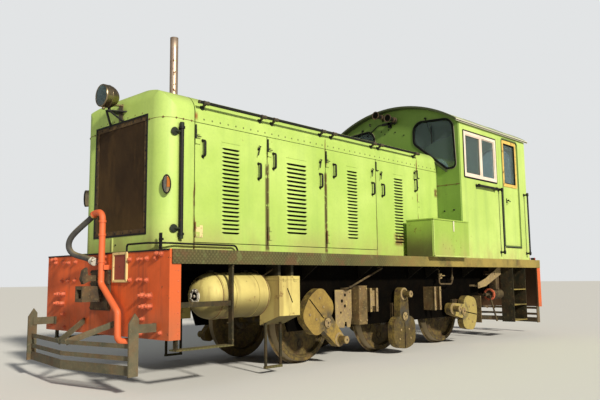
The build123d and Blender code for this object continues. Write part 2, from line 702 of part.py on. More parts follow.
def hood_section(half_width_cut=0.0):
    """Closed cross-section of the hood above the deck, shrunk by half_width_cut all round."""
    cut = half_width_cut
    side = HOOD_HALF_WIDTH - cut
    shift = cut * math.sqrt(0.5)
    mid = (HOOD_HALF_WIDTH - HOOD_SHOULDER_MID_IN - shift, HOOD_SIDE_TOP + HOOD_SHOULDER_MID_UP - shift)
    end = (HOOD_HALF_WIDTH - HOOD_SHOULDER_END_IN - cut * 0.25, HOOD_SIDE_TOP + HOOD_SHOULDER_END_UP - cut)
    crown = HOOD_CROWN - cut
    edges = [
        Line((-side, DECK_TOP), (side, DECK_TOP)),
        Line((side, DECK_TOP), (side, HOOD_SIDE_TOP)),
        ThreePointArc((side, HOOD_SIDE_TOP), mid, end),
        ThreePointArc(end, (0, crown), (-end[0], end[1])),
        ThreePointArc((-end[0], end[1]), (-mid[0], mid[1]), (-side, HOOD_SIDE_TOP)),
        Line((-side, HOOD_SIDE_TOP), (-side, DECK_TOP)),
    ]
    return make_face(edges)


def hood_length(x0, x1, cut=0.0):
    plane = Plane(origin=(x0, 0, 0), x_dir=(0, 1, 0), z_dir=(1, 0, 0))
    return extrude(plane * hood_section(cut), x1 - x0)


def nose_shape(cut):
    """Hood length with round front corners in plan and a round top front edge."""
    rear = at(HOOD_SEAMS[0]) + DOOR_GAP / 2
    front = at(NOSE_FRONT) - cut
    side = HOOD_HALF_WIDTH + 1
    corner = NOSE_CORNER_RADIUS
    plan = Polyline((rear - 500, -side), (front, -side), (front, side), (rear - 500, side), close=True)
    flat = make_face(plan)
    corners = flat.vertices().filter_by(lambda v: v.X > front - 1)
    flat = fillet(corners, corner)
    upright = extrude(Pos(0, 0, DECK_TOP) * flat, HOOD_CROWN - DECK_TOP + 50)
    top = HOOD_CROWN - cut
    back = rear - 500
    profile = make_face(Polyline((back, DECK_TOP), (front, DECK_TOP), (front, top), (back, top), close=True))
    corner_top = profile.vertices().filter_by(lambda v: v.X > front - 1 and v.Y > top - 1)
    profile = fillet(corner_top, NOSE_TOP_RADIUS)
    lengthways = extrude(Plane(origin=(0, side, 0), x_dir=(1, 0, 0), z_dir=(0, -1, 0)) * profile, 2 * side)
    shape = hood_length(rear if cut == 0 else rear - 1, front, cut)
    return shape & upright & lengthways


def nose_cowl():
    outer = nose_shape(0.0)
    inner = Pos(0, 0, -1) * nose_shape(HOOD_SKIN)
    shell = outer - inner
    front = at(NOSE_FRONT)
    opening = block(front - 60, front + 10, -GRILLE_HALF_WIDTH, GRILLE_HALF_WIDTH, GRILLE_BOTTOM, GRILLE_TOP)
    shell -= opening
    # Folded rim that carries the grille
    rim_half = GRILLE_HALF_WIDTH + 12
    rim = block(front - 40, front - 2, -rim_half, rim_half, GRILLE_BOTTOM - 12, GRILLE_TOP + 12)
    rim -= opening
    return shell + rim


def radiator_grille():
    front = at(NOSE_FRONT) - 8
    edge = GRILLE_HALF_WIDTH - SEAT_GAP
    low = GRILLE_BOTTOM + SEAT_GAP
    high = GRILLE_TOP - SEAT_GAP
    return block(front - GRILLE_THICKNESS, front, -edge, edge, low, high)


def hood_roof():
    rear = at(CAB_FRONT)
    front = at(HOOD_SEAMS[0]) - DOOR_GAP / 2
    shell = hood_length(rear, front) - hood_length(rear - 1, front + 1, HOOD_SKIN)
    return shell & block(rear, front, -900, 900, ROOF_SEAM, HOOD_CROWN + 10)


def hood_frame():
    """Sill, top rail and a post behind each panel seam, with the fixed halves of the door hinges."""
    front = at(HOOD_SEAMS[0]) - DOOR_GAP / 2
    rear = at(CAB_FRONT)
    outer = HOOD_HALF_WIDTH - PANEL_THICKNESS - MOVING_CLEARANCE
    inner = outer - POST_DEPTH
    sill = block(rear, front, inner, HOOD_HALF_WIDTH, DECK_TOP, DOOR_BOTTOM - 8)
    rail = block(rear, front, inner, HOOD_HALF_WIDTH - HOOD_SKIN - SEAT_GAP, ROOF_SEAM, ROOF_SEAM + 55)
    rail += block(rear, front, inner, outer, ROOF_SEAM - 45, ROOF_SEAM)
    made = [sill, rail]
    low = DOOR_BOTTOM - 8 + SEAT_GAP
    high = ROOF_SEAM - 45 - SEAT_GAP
    half = POST_WIDTH / 2
    hinged = [door[1] for door in HOOD_DOORS]
    for seam, station in enumerate(HOOD_SEAMS):
        x = at(station)
        post = block(x - half, x + half, inner, outer, low, high)
        if seam in hinged:
            for height in HINGE_HEIGHTS:
                post += hinge_fixed(hinge_x(seam), outer, height)
        made.append(post)
    return both_sides(made)


def hinge_x(seam):
    return at(HOOD_SEAMS[seam]) - HINGE_SET_BACK


def hinge_fixed(x, post_face, height):
    """Web, knuckle and pin on a hood post."""
    axis_y = HOOD_HALF_WIDTH + HINGE_STAND_OFF
    half = KNUCKLE_LENGTH / 2
    web_half = HINGE_WEB / 2
    web = block(x - web_half, x + web_half, post_face - 1, axis_y, height - half, height + half)
    knuckle = rod((x, axis_y, height - half), (x, axis_y, height + half), KNUCKLE_RADIUS)
    reach = half + KNUCKLE_GAP + KNUCKLE_LENGTH
    pin = rod((x, axis_y, height - reach), (x, axis_y, height + reach), HINGE_PIN_RADIUS)
    return web + knuckle + pin


def hinge_moving(x, height):
    """Two knuckles and their straps on the front edge of a hood door."""
    axis_y = HOOD_HALF_WIDTH + HINGE_STAND_OFF
    half = KNUCKLE_LENGTH / 2
    made = []
    for side in (-1, 1):
        near = height + side * (half + KNUCKLE_GAP)
        far = near + side * KNUCKLE_LENGTH
        knuckle = rod((x, axis_y, near), (x, axis_y, far), KNUCKLE_RADIUS)
        strap = block(x - HINGE_STRAP_LENGTH, x, HOOD_HALF_WIDTH - 1, axis_y - 2, near, far)
        bore = rod((x, axis_y, near - side), (x, axis_y, far + side), HINGE_PIN_RADIUS + RUNNING_FIT)
        made.append(knuckle + strap - bore)
    return made


# Columns: name, front seam with the hinges, rear seam
HOOD_DOORS = (
    ("1", 0, 1),
    ("2", 1, 2),
    ("3", 2, 3),
)


def hood_door(front_seam, rear_seam):
    """Left door between two seams, notched at its front edge round the fixed hinge halves."""
    front = at(HOOD_SEAMS[front_seam]) - DOOR_GAP / 2
    rear = at(HOOD_SEAMS[rear_seam]) + DOOR_GAP / 2
    inner = HOOD_HALF_WIDTH - PANEL_THICKNESS
    panel = block(rear, front, inner, HOOD_HALF_WIDTH, DOOR_BOTTOM, DOOR_TOP)
    x = hinge_x(front_seam)
    notch_x = x - HINGE_WEB / 2 - MOVING_CLEARANCE
    notch_half = KNUCKLE_LENGTH / 2 + MOVING_CLEARANCE
    outer = HOOD_HALF_WIDTH + 1
    for height in HINGE_HEIGHTS:
        panel -= block(notch_x, front + 1, inner - 1, outer, height - notch_half, height + notch_half)
        for leaf in hinge_moving(x, height):
            panel += leaf
    return panel


def hood_side_panels():
    """Fixed panels of the last two bays, against the cab."""
    made = []
    for first_x, last_x in ((at(HOOD_SEAMS[3]) - DOOR_GAP / 2, at(HOOD_SEAMS[4]) + 2),
                            (at(HOOD_SEAMS[4]) - 2, at(CAB_FRONT))):
        made.append(block(last_x, first_x, HOOD_HALF_WIDTH - PANEL_THICKNESS - MOVING_CLEARANCE + SEAT_GAP,
                          HOOD_HALF_WIDTH, DOOR_BOTTOM - 8 + SEAT_GAP, DOOR_TOP))
    return both_sides(made)


# Cab


def roof_cylinder(radius, x0, x1):
    centre = ROOF_CROWN - ROOF_RADIUS
    return rod((x0, 0, centre), (x1, 0, centre), radius)


def under_roof(shape):
    """The part of a wall that lies under the cab roof."""
    x0 = at(CAB_REAR) - 100
    x1 = at(CAB_FRONT) + 100
    return shape & roof_cylinder(ROOF_RADIUS - ROOF_THICKNESS - SEAT_GAP, x0, x1)


def wall_plane(x):
    """Sketch plane across the cab: its x axis is Y and its y axis is Z."""
    return Plane(origin=(x, 0, 0), x_dir=(0, 1, 0), z_dir=(1, 0, 0))


# Corners as Y and height over the cab floor
FRONT_WINDOW = ((400, 2030), (1120, 1990), (1152, 1200), (1000, 1195), (400, 1675))
FRONT_WINDOW_RADII = (150, 170, 60, 60, 130)
REAR_WINDOW = ((330, 1880), (960, 1880), (960, 1100), (330, 1100))
REAR_WINDOW_RADII = (240, 240, 60, 60)


def window_face(corners, radii):
    return Pos(0, FLOOR_TOP) * rounded_face(corners, radii)


def cab_front_wall():
    x = at(CAB_FRONT)
    wall = block(x - CAB_WALL, x, -CAB_HALF_WIDTH, CAB_HALF_WIDTH, DECK_TOP, ROOF_CROWN)
    wall = under_roof(wall)
    window = window_face(FRONT_WINDOW, FRONT_WINDOW_RADII)
    hole = extrude(wall_plane(x - CAB_WALL - 5) * window, CAB_WALL + 10)
    return wall - hole - mirrored(hole)


def cab_rear_wall():
    x = at(CAB_REAR)
    wall = under_roof(block(x, x + CAB_WALL, -CAB_HALF_WIDTH, CAB_HALF_WIDTH, DECK_TOP, ROOF_CROWN))
    window = window_face(REAR_WINDOW, REAR_WINDOW_RADII)
    hole = extrude(wall_plane(x - 5) * window, CAB_WALL + 10)
    return wall - hole - mirrored(hole)


def cab_side():
    """Front panel with its window, sill, header and rear post of the left side."""
    outer = CAB_HALF_WIDTH
    inner = outer - CAB_WALL
    front = at(CAB_FRONT) - CAB_WALL - SEAT_GAP
    rear = at(CAB_REAR) + CAB_WALL + SEAT_GAP
    door_front, door_rear, door_low, door_high = CAB_DOOR_OPENING
    window_front, window_rear, window_low, window_high = SIDE_WINDOW
    panel = block(at(door_front), front, inner, outer, DECK_TOP, ROOF_CROWN)
    panel -= block(at(window_rear), at(window_front), inner - 5, outer + 5, window_low, window_high)
    post = block(rear, at(door_rear), inner, outer, DECK_TOP, ROOF_CROWN)
    gap = SEAT_GAP
    sill = block(at(door_rear) + gap, at(door_front) - gap, inner, outer, DECK_TOP, door_low)
    header = block(at(door_rear) + gap, at(door_front) - gap, inner, outer, door_high, ROOF_CROWN)
    for height in CAB_HINGE_HEIGHTS:
        post += cab_hinge_fixed(height)
    return [under_roof(panel), under_roof(post), sill, under_roof(header)]


def cab_hinge_axis():
    leaf_inner = CAB_HALF_WIDTH - CAB_DOOR_RECESS - CAB_DOOR_THICKNESS
    return at(CAB_DOOR_OPENING[1]), leaf_inner - 10


def cab_hinge_fixed(height):
    x, y = cab_hinge_axis()
    half = KNUCKLE_LENGTH / 2
    knuckle = rod((x, y, height - half), (x, y, height + half), KNUCKLE_RADIUS)
    inner = CAB_HALF_WIDTH - CAB_WALL
    leaf = block(x - 45, x, y - 4, y + 4, height - half, height + half)
    leaf += block(x - 45, x - 4, y - 4, inner + 1, height - half, height + half)
    reach = half + KNUCKLE_LENGTH
    pin = rod((x, y, height - reach), (x, y, height + reach), HINGE_PIN_RADIUS)
    return leaf + knuckle + pin


def cab_door():
    """Left cab door with its glazed upper half cut and its hinge knuckles on the inside."""
    outer = CAB_HALF_WIDTH - CAB_DOOR_RECESS
    inner = outer - CAB_DOOR_THICKNESS
    front, rear, low, high = CAB_DOOR_OPENING
    leaf = block(at(rear) + MOVING_CLEARANCE, at(front) - CAB_DOOR_FREE_GAP, inner, outer, low + 8, high - 8)
    glass_front, glass_rear, glass_low, glass_high = CAB_DOOR_GLASS
    leaf -= block(at(glass_rear), at(glass_front), inner - 5, outer + 5, glass_low, glass_high)
    x, y = cab_hinge_axis()
    half = KNUCKLE_LENGTH / 2
    for height in CAB_HINGE_HEIGHTS:
        for side in (-1, 1):
            near = height + side * (half + KNUCKLE_GAP)
            far = height + side * (half + KNUCKLE_LENGTH - 2)
            knuckle = rod((x, y, near), (x, y, far), KNUCKLE_RADIUS)
            strap = block(x, x + 60, y - 2, inner + 1, near, far)
            bore = rod((x, y, near - side), (x, y, far + side), HINGE_PIN_RADIUS + RUNNING_FIT)
            leaf += knuckle + strap - bore
    return leaf


def cab_door_glass():
    middle = CAB_HALF_WIDTH - CAB_DOOR_RECESS - CAB_DOOR_THICKNESS / 2
    half = GLASS_THICKNESS / 2
    front, rear, low, high = CAB_DOOR_GLASS
    gap = SEAT_GAP
    return block(at(rear) + gap, at(front) - gap, middle - half, middle + half, low + gap, high - gap)


def cab_glass():
    """Fixed panes: side windows, front windows and rear windows."""
    gap = SEAT_GAP
    middle = CAB_HALF_WIDTH - CAB_WALL / 2
    half = GLASS_THICKNESS / 2
    front, rear, low, high = SIDE_WINDOW
    side = block(at(rear) + gap, at(front) - gap, middle - half, middle + half, low + gap, high - gap)
    panes = [side]
    # Columns: X of the wall's middle, corners and radii of the window
    for x, corners, radii in ((at(CAB_FRONT) - CAB_WALL / 2, FRONT_WINDOW, FRONT_WINDOW_RADII),
                              (at(CAB_REAR) + CAB_WALL / 2, REAR_WINDOW, REAR_WINDOW_RADII)):
        face = offset(window_face(corners, radii), amount=-gap)
        panes.append(extrude(wall_plane(x - half) * face, GLASS_THICKNESS))
    return both_sides(panes)


def cab_roof():
    front = at(ROOF_FRONT)
    rear = at(ROOF_REAR)
    shell = roof_cylinder(ROOF_RADIUS, rear, front)
    shell -= roof_cylinder(ROOF_RADIUS - ROOF_THICKNESS, rear - 1, front + 1)
    return shell & block(rear, front, -ROOF_HALF_WIDTH, ROOF_HALF_WIDTH, ROOF_CROWN - 877, ROOF_CROWN + 5)


def cab_floor():
    gap = SEAT_GAP
    inner = CAB_HALF_WIDTH - CAB_WALL - gap
    rear = at(CAB_REAR) + CAB_WALL + gap
    front = at(CAB_FRONT) - CAB_WALL - gap
    return block(rear, front, -inner, inner, DECK_TOP, FLOOR_TOP)


DESK_REAR = 5980.0
DESK_TOP = FLOOR_TOP + 800.0


def control_desk():
    front = at(CAB_FRONT) - CAB_WALL - SEAT_GAP
    rear = at(DESK_REAR)
    knee = rear + 120
    outline = Polyline((front, FLOOR_TOP), (knee, FLOOR_TOP), (knee, DESK_TOP - 250), (rear, DESK_TOP - 180),
                       (rear + 90, DESK_TOP), (front, DESK_TOP), close=True)
    plane = Plane(origin=(0, 620, 0), x_dir=(1, 0, 0), z_dir=(0, -1, 0))
    desk = extrude(plane * make_face(outline), 1240)
    lever_x = rear + 45
    desk += rod((lever_x, 250, DESK_TOP - 100), (lever_x - 70, 250, DESK_TOP - 40), 14)
    return desk


SEAT_STATION = 6420.0
SEAT_Y = -430.0


def seat_frame():
    x = at(SEAT_STATION)
    frame = rod((x, SEAT_Y, FLOOR_TOP), (x, SEAT_Y, FLOOR_TOP + 15), 170)
    frame += rod((x, SEAT_Y, FLOOR_TOP), (x, SEAT_Y, FLOOR_TOP + 420), 35)
    frame += block(x - 190, x + 190, SEAT_Y - 190, SEAT_Y + 190, FLOOR_TOP + 405, FLOOR_TOP + 430)
    frame += block(x - 235, x - 185, SEAT_Y - 30, SEAT_Y + 30, FLOOR_TOP + 405, FLOOR_TOP + 700)
    return frame


def seat_cushions():
    x = at(SEAT_STATION)
    base = FLOOR_TOP + 430 + SEAT_GAP
    seat = block(x - 180, x + 210, SEAT_Y - 210, SEAT_Y + 210, base, base + 90)
    back = block(x - 184.7, x - 104.7, SEAT_Y - 200, SEAT_Y + 200, base + 110, base + 430)
    return [seat, back]


def engine_block():
    engine = block(at(3350.0), at(1150.0), -400, 400, DECK_TOP, DECK_TOP + 1152)
    gearbox = block(at(4550.0), at(3350.0) - SEAT_GAP, -330, 330, DECK_TOP, DECK_TOP + 722)
    return [engine, gearbox]


def radiator_core():
    return block(at(520.0), at(300.0), -560, 560, DECK_TOP, DECK_TOP + 1332)


# Rails, lamps and other fittings


def handrails():
    front, rear = HANDRAIL_ENDS
    made = [rod((at(front), HANDRAIL_Y, HANDRAIL_Z), (at(rear), HANDRAIL_Y, HANDRAIL_Z), HANDRAIL_RADIUS)]
    low = DECK_TOP + 90
    high = low + DOOR_RAIL_LENGTH
    for station in DOOR_RAIL_STATIONS:
        made.append(rod((at(station), DOOR_RAIL_Y, low), (at(station), DOOR_RAIL_Y, high), DOOR_RAIL_RADIUS))
    ends = [(at(station), WINDOW_RAIL_Y, WINDOW_RAIL_Z) for station in WINDOW_RAIL_STATIONS]
    made.append(rod(*ends, WINDOW_RAIL_RADIUS))
    return both_sides(made)


def rail_stanchions():
    """Short bars from the hood shoulder and the cab side to the handrails."""
    made = []
    tip = HANDRAIL_RADIUS + SEAT_GAP
    for station in STANCHION_STATIONS:
        x = at(station)
        foot = (x, HOOD_HALF_WIDTH - 60, HANDRAIL_Z - STANCHION_FOOT_DROP)
        bar = rod(foot, (x, HANDRAIL_Y, HANDRAIL_Z), STANCHION_RADIUS)
        bar -= rod((x - 40, HANDRAIL_Y, HANDRAIL_Z), (x + 40, HANDRAIL_Y, HANDRAIL_Z), tip)
        bar -= hood_length(x - 60, x + 60)
        made.append(bar.solids().sort_by(Axis.Y)[-1])
    low = DECK_TOP + 90
    reach = DOOR_RAIL_Y - DOOR_RAIL_RADIUS - SEAT_GAP
    for station in DOOR_RAIL_STATIONS:
        for height in (low + 22, low + DOOR_RAIL_LENGTH - 22):
            foot = (at(station), CAB_HALF_WIDTH, height)
            made.append(rod(foot, (at(station), reach, height), STANCHION_RADIUS))
    reach = WINDOW_RAIL_Y - WINDOW_RAIL_RADIUS - SEAT_GAP
    front, rear = WINDOW_RAIL_STATIONS
    for station in (front + 24, rear - 24):
        foot = (at(station), CAB_HALF_WIDTH, WINDOW_RAIL_Z)
        made.append(rod(foot, (at(station), reach, WINDOW_RAIL_Z), STANCHION_RADIUS))
    return both_sides(made)


def nose_pipes():
    """Upright pipe with a flange near each end on both sides of the nose."""
    x = at(400.0)
    y = HOOD_HALF_WIDTH + 28
    low = DOOR_BOTTOM + 30
    high = DOOR_TOP - 49
    pipe = rod((x, y, low), (x, y, high), 22)
    for height in (low + 42, high - 45):
        pipe += rod((x, HOOD_HALF_WIDTH, height), (x, y, height), 10)
        outside = block(x - 60, x + 60, HOOD_HALF_WIDTH, y + 60, low, high)
        pipe += rod((x, y, height - 12), (x, y, height + 12), 32) & outside
    return both_sides([pipe])


def exhaust_stack():
    x = at(STACK_STATION)
    stack = rod((x, 0, HOOD_CROWN - 2), (x, 0, STACK_TOP), STACK_RADIUS)
    stack += rod((x, 0, HOOD_CROWN - 2), (x, 0, HOOD_CROWN + 14), STACK_RADIUS + 30)
    stack -= rod((x, 0, HOOD_CROWN + 30), (x, 0, STACK_TOP + 1), STACK_RADIUS - 5)
    stack -= hood_length(x - 200, x + 200, -SEAT_GAP)
    return stack


FILLER_STATION = 690.0
FILLER_NECK_RADIUS = 20.0
FILLER_CAP_RADIUS = 27.0
FILLER_HEIGHT = 132.0


def filler_cap():
    x = at(FILLER_STATION)
    top = HOOD_CROWN + FILLER_HEIGHT
    cap = rod((x, 0, HOOD_CROWN - 2), (x, 0, top - 50), FILLER_NECK_RADIUS)
    cap += rod((x, 0, top - 60), (x, 0, top), FILLER_CAP_RADIUS)
    return cap - hood_length(x - 200, x + 200, -SEAT_GAP)


HEADLIGHT_CENTRE = (HALF_LENGTH - 25.0, 0.0, HOOD_CROWN - 65.0)
HEADLIGHT_RADIUS = 125.0


def headlight_front():
    """Round lamp bowl on a bracket from the nose top."""
    x, y, z = HEADLIGHT_CENTRE
    radius = HEADLIGHT_RADIUS
    profile = make_face([
        Line((0, 60), (radius, 60)),
        Line((radius, 60), (radius, 30)),
        ThreePointArc((radius, 30), (radius * 0.72, -75), (0, -125)),
        Line((0, -125), (0, 60)),
    ])
    bowl = Pos(x, y, z) * Rot(0, 0, -90) * revolve(profile, Axis.Y)
    foot_top = z - 60
    stem = flat_bar((at(NOSE_FRONT) - 40, 0, foot_top), (x - 30, 0, z - 90), 60, 14, (0, 1, 0))
    foot = block(at(NOSE_FRONT), at(NOSE_FRONT) + 8, -40, 40, GRILLE_TOP + 20, foot_top)
    lamp = bowl + stem + foot
    return lamp - nose_shape(-SEAT_GAP)


def headlight_rear():
    x = at(CAB_REAR)
    profile = make_face([
        Line((0, 60), (110, 60)),
        Line((110, 60), (110, 30)),
        ThreePointArc((110, 30), (80, -50), (0, -90)),
        Line((0, -90), (0, 60)),
    ])
    z = FLOOR_TOP + 1790
    bowl = Pos(x - 110, 0, z) * Rot(0, 0, 90) * revolve(profile, Axis.Y)
    arm = block(x - 60, x, -25, 25, z - 30, z + 30)
    return bowl + arm


MARKER_ANGLE = math.radians(53)
MARKER_DEPTH = 52.0
MARKER_HALF_WIDTH = 45.0
MARKER_HALF_HEIGHT = 97.0
MARKER_Z = DECK_TOP + 670.0


def marker_lamps():
    """Oval lamps on the nose corners and round ones on the cab's rear."""
    corner = Vector(at(NOSE_FRONT) - NOSE_CORNER_RADIUS, HOOD_HALF_WIDTH - NOSE_CORNER_RADIUS, MARKER_Z)
    way = Vector(math.cos(MARKER_ANGLE), math.sin(MARKER_ANGLE), 0)
    face = Plane(origin=corner + way * (NOSE_CORNER_RADIUS - 12), x_dir=(-way.Y, way.X, 0), z_dir=way)
    lamp = extrude(face * Ellipse(MARKER_HALF_WIDTH, MARKER_HALF_HEIGHT), MARKER_DEPTH + 12)
    lamp -= nose_shape(-SEAT_GAP)
    rear_x = at(CAB_REAR)
    y = CAB_HALF_WIDTH - 135
    z = FLOOR_TOP + 710
    tail = rod((rear_x, y, z), (rear_x - 70, y, z), 55)
    return both_sides([lamp, tail])


HORN_BELL_RADIUS = 64.0
HORN_BELL_STATION = CAB_FRONT - 265.0
# Columns: Y and height over the cab floor of each trumpet
HORN_PLACES = ((-172.0, 2215.0), (72.0, 2130.0))


def horns():
    """Pair of trumpets on brackets from the cab front, over the hood."""
    made = []
    wall = at(CAB_FRONT)
    bell_x = at(HORN_BELL_STATION)
    for y, height in HORN_PLACES:
        z = FLOOR_TOP + height
        bell = Plane(origin=(bell_x, y, z), z_dir=(1, 0, 0)) * Circle(HORN_BELL_RADIUS)
        throat = Plane(origin=(wall + 105, y, z), z_dir=(1, 0, 0)) * Circle(18)
        trumpet = loft([throat, bell])
        trumpet += rod((wall + 55, y, z), (wall + 108, y, z), 40)
        trumpet += rod((wall + 80, y, z), (wall - 40, y - 60, z - 70), 14)
        trumpet &= block(wall + SEAT_GAP, bell_x + 1, y - 200, y + 200, z - 300, z + 300)
        made.append(trumpet)
    return made


# Toolboxes


def toolbox():
    front, rear, inner, outer, low, high = TOOLBOX
    wall = TOOLBOX_WALL
    body = block(at(rear), at(front), inner, outer, low, high)
    body -= block(at(rear) + wall, at(front) - wall, inner + wall, outer - wall, low + wall, high + 5)
    x_list = (at(rear) + 180, at(front) - 180)
    y, z = lid_axis()
    for x in x_list:
        body += block(x - 25, x + 25, y - 6, inner + 1, z - 60, high)
        body += block(x - 25, x + 25, y - 6, y + 6, z - 60, z)
        body += rod((x - 25, y, z), (x + 25, y, z), KNUCKLE_RADIUS)
        body += rod((x - 75, y, z), (x + 75, y, z), HINGE_PIN_RADIUS)
    return body


def lid_axis():
    return TOOLBOX[2] - 12, TOOLBOX[5] + 3 + LID_THICKNESS / 2


def toolbox_lid():
    front, rear, inner, outer, low, high = TOOLBOX
    y, z = lid_axis()
    lid = block(at(rear) + 2, at(front) + 8, inner - 2, outer + 10, high + 3, high + 3 + LID_THICKNESS)
    for x in (at(rear) + 180, at(front) - 180):
        for side in (-1, 1):
            near = x + side * 26
            far = x + side * 73
            knuckle = rod((near, y, z), (far, y, z), KNUCKLE_RADIUS)
            strap = block(near, far, y, inner + 1, z - 5, z + 5)
            bore = rod((near - side, y, z), (far + side, y, z), HINGE_PIN_RADIUS + RUNNING_FIT)
            lid += knuckle + strap - bore
    return lid


def build_all():
    os.makedirs("parts", exist_ok=True)
    save("deck_plate", [deck_plate()])
    save("valances", valances())
    save("headstocks", headstocks())
    save("side_frames", side_frames())
    save("frame_stretchers", frame_stretchers())
    save("frame_brackets", frame_brackets())
    save("axleboxes", axleboxes())
    save("leaf_springs", leaf_springs())
    save("brake_gear", brake_shoes() + brake_cylinders())
    save("air_tanks", air_tanks())
    save("side_boxes", side_boxes())
    save("step_hangers", step_hangers())
    save("step_treads", step_treads())
    save("pilots", both_ends(pilot()))
    save("couplers", both_ends([coupler()]))
    save("brake_pipes", both_ends([brake_pipe(), hose_socket()]))
    hose = hose_tube()
    save("brake_hose_front", [hose])
    save("brake_hose_rear", [turned(hose)])

    one_wheel = wheel()
    for name, station in AXLE_STATIONS.items():
        place = Pos(at(station), 0, FLANGE_RADIUS)
        save(f"wheels_{name}", [place * one_wheel, place * mirrored(one_wheel)])
        save(f"crank_axle_{name}", [place * crank_axle(CRANK_ANGLES[name])])

    save("nose_cowl", [nose_cowl()])
    save("radiator_grille", [radiator_grille()])
    save("hood_roof", [hood_roof()])
    save("hood_frame", hood_frame())
    save("hood_side_panels", hood_side_panels())
    for name, front_seam, rear_seam in HOOD_DOORS:
        door = hood_door(front_seam, rear_seam)
        save(f"hood_door_left_{name}", [door])
        save(f"hood_door_right_{name}", [mirrored(door)])
    save("engine_block", engine_block() + [radiator_core()])

    save("cab_floor", [cab_floor()])
    save("cab_front_wall", [cab_front_wall()])
    save("cab_rear_wall", [cab_rear_wall()])
    side = cab_side()
    save("cab_side_left", side)
    save("cab_side_right", [mirrored(piece) for piece in side])
    save("cab_roof", [cab_roof()])
    save("cab_glass", cab_glass())
    save("control_desk", [control_desk()])
    save("seat_frame", [seat_frame()])
    save("seat_cushions", seat_cushions())
    door = cab_door()
    pane = cab_door_glass()
    save("cab_door_left", [door])
    save("cab_door_right", [mirrored(door)])
    save("cab_door_glass_left", [pane])
    save("cab_door_glass_right", [mirrored(pane)])

    save("handrails", handrails())
    save("rail_stanchions", rail_stanchions())
    save("nose_pipes", nose_pipes())
    save("exhaust_stack", [exhaust_stack(), filler_cap()])
    save("lamps", [headlight_front(), headlight_rear()] + marker_lamps())
    save("horns", horns())
    box = toolbox()
    lid = toolbox_lid()
    save("toolboxes", [box, mirrored(box)])
    save("toolbox_lid_left", [lid])
    save("toolbox_lid_right", [mirrored(lid)])


build_all()
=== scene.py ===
import math

import bpy
import bmesh
from mathutils import Matrix, Vector


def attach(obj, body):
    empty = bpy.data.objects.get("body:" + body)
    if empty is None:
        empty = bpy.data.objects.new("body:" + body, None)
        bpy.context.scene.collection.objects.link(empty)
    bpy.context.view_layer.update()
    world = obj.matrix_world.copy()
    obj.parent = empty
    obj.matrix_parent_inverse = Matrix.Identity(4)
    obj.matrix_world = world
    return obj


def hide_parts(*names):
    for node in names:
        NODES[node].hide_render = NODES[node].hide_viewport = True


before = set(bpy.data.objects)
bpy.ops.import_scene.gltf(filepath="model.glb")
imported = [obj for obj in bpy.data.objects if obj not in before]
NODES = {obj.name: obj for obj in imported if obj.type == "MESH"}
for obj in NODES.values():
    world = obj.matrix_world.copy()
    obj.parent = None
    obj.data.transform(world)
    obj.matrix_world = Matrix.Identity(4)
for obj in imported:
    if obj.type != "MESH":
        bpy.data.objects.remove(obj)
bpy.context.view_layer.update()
ROOT = "underframe"
SIDES = ("left", "right")

# Directions of the frame: forward, left and up
X, Y, Z = Vector((1, 0, 0)), Vector((0, 1, 0)), Vector((0, 0, 1))

# Measured places, in metres. A station is counted back from the front headstock's face.
HALF_LENGTH = 4.100
HOOD_Y = 0.800
CAB_Y = 1.215
CAB_FRONT_X = -1.280
CAB_REAR_X = -3.660
AXLE_Z = 0.508
WHEEL_FACE_Y = 0.5795
RIM_FACE_Y = 0.6285
# Stations of the hood's seams
SEAMS = (0.585, 1.640, 2.680, 3.760, 4.810)
# X of each axle, and the angle of its left crank's counterweight
AXLES = {"front": (1.694, 223.0), "middle": (0.063, 90.0), "rear": (-1.552, 9.0)}


def at(station):
    return HALF_LENGTH - station


def linked(name, data):
    """New object in the scene."""
    made = bpy.data.objects.new(name, data)
    bpy.context.scene.collection.objects.link(made)
    return made


# Shader expressions


class Value:
    """A number socket with arithmetic."""

    def __init__(self, shade, socket):
        self.shade = shade
        self.socket = socket

    def __add__(self, other):
        return self.shade.math("ADD", self, other)

    def __sub__(self, other):
        return self.shade.math("SUBTRACT", self, other)

    def __rsub__(self, other):
        return self.shade.math("SUBTRACT", other, self)

    def __mul__(self, other):
        return self.shade.math("MULTIPLY", self, other)

    def __abs__(self):
        return self.shade.math("ABSOLUTE", self)

    __radd__ = __add__
    __rmul__ = __mul__


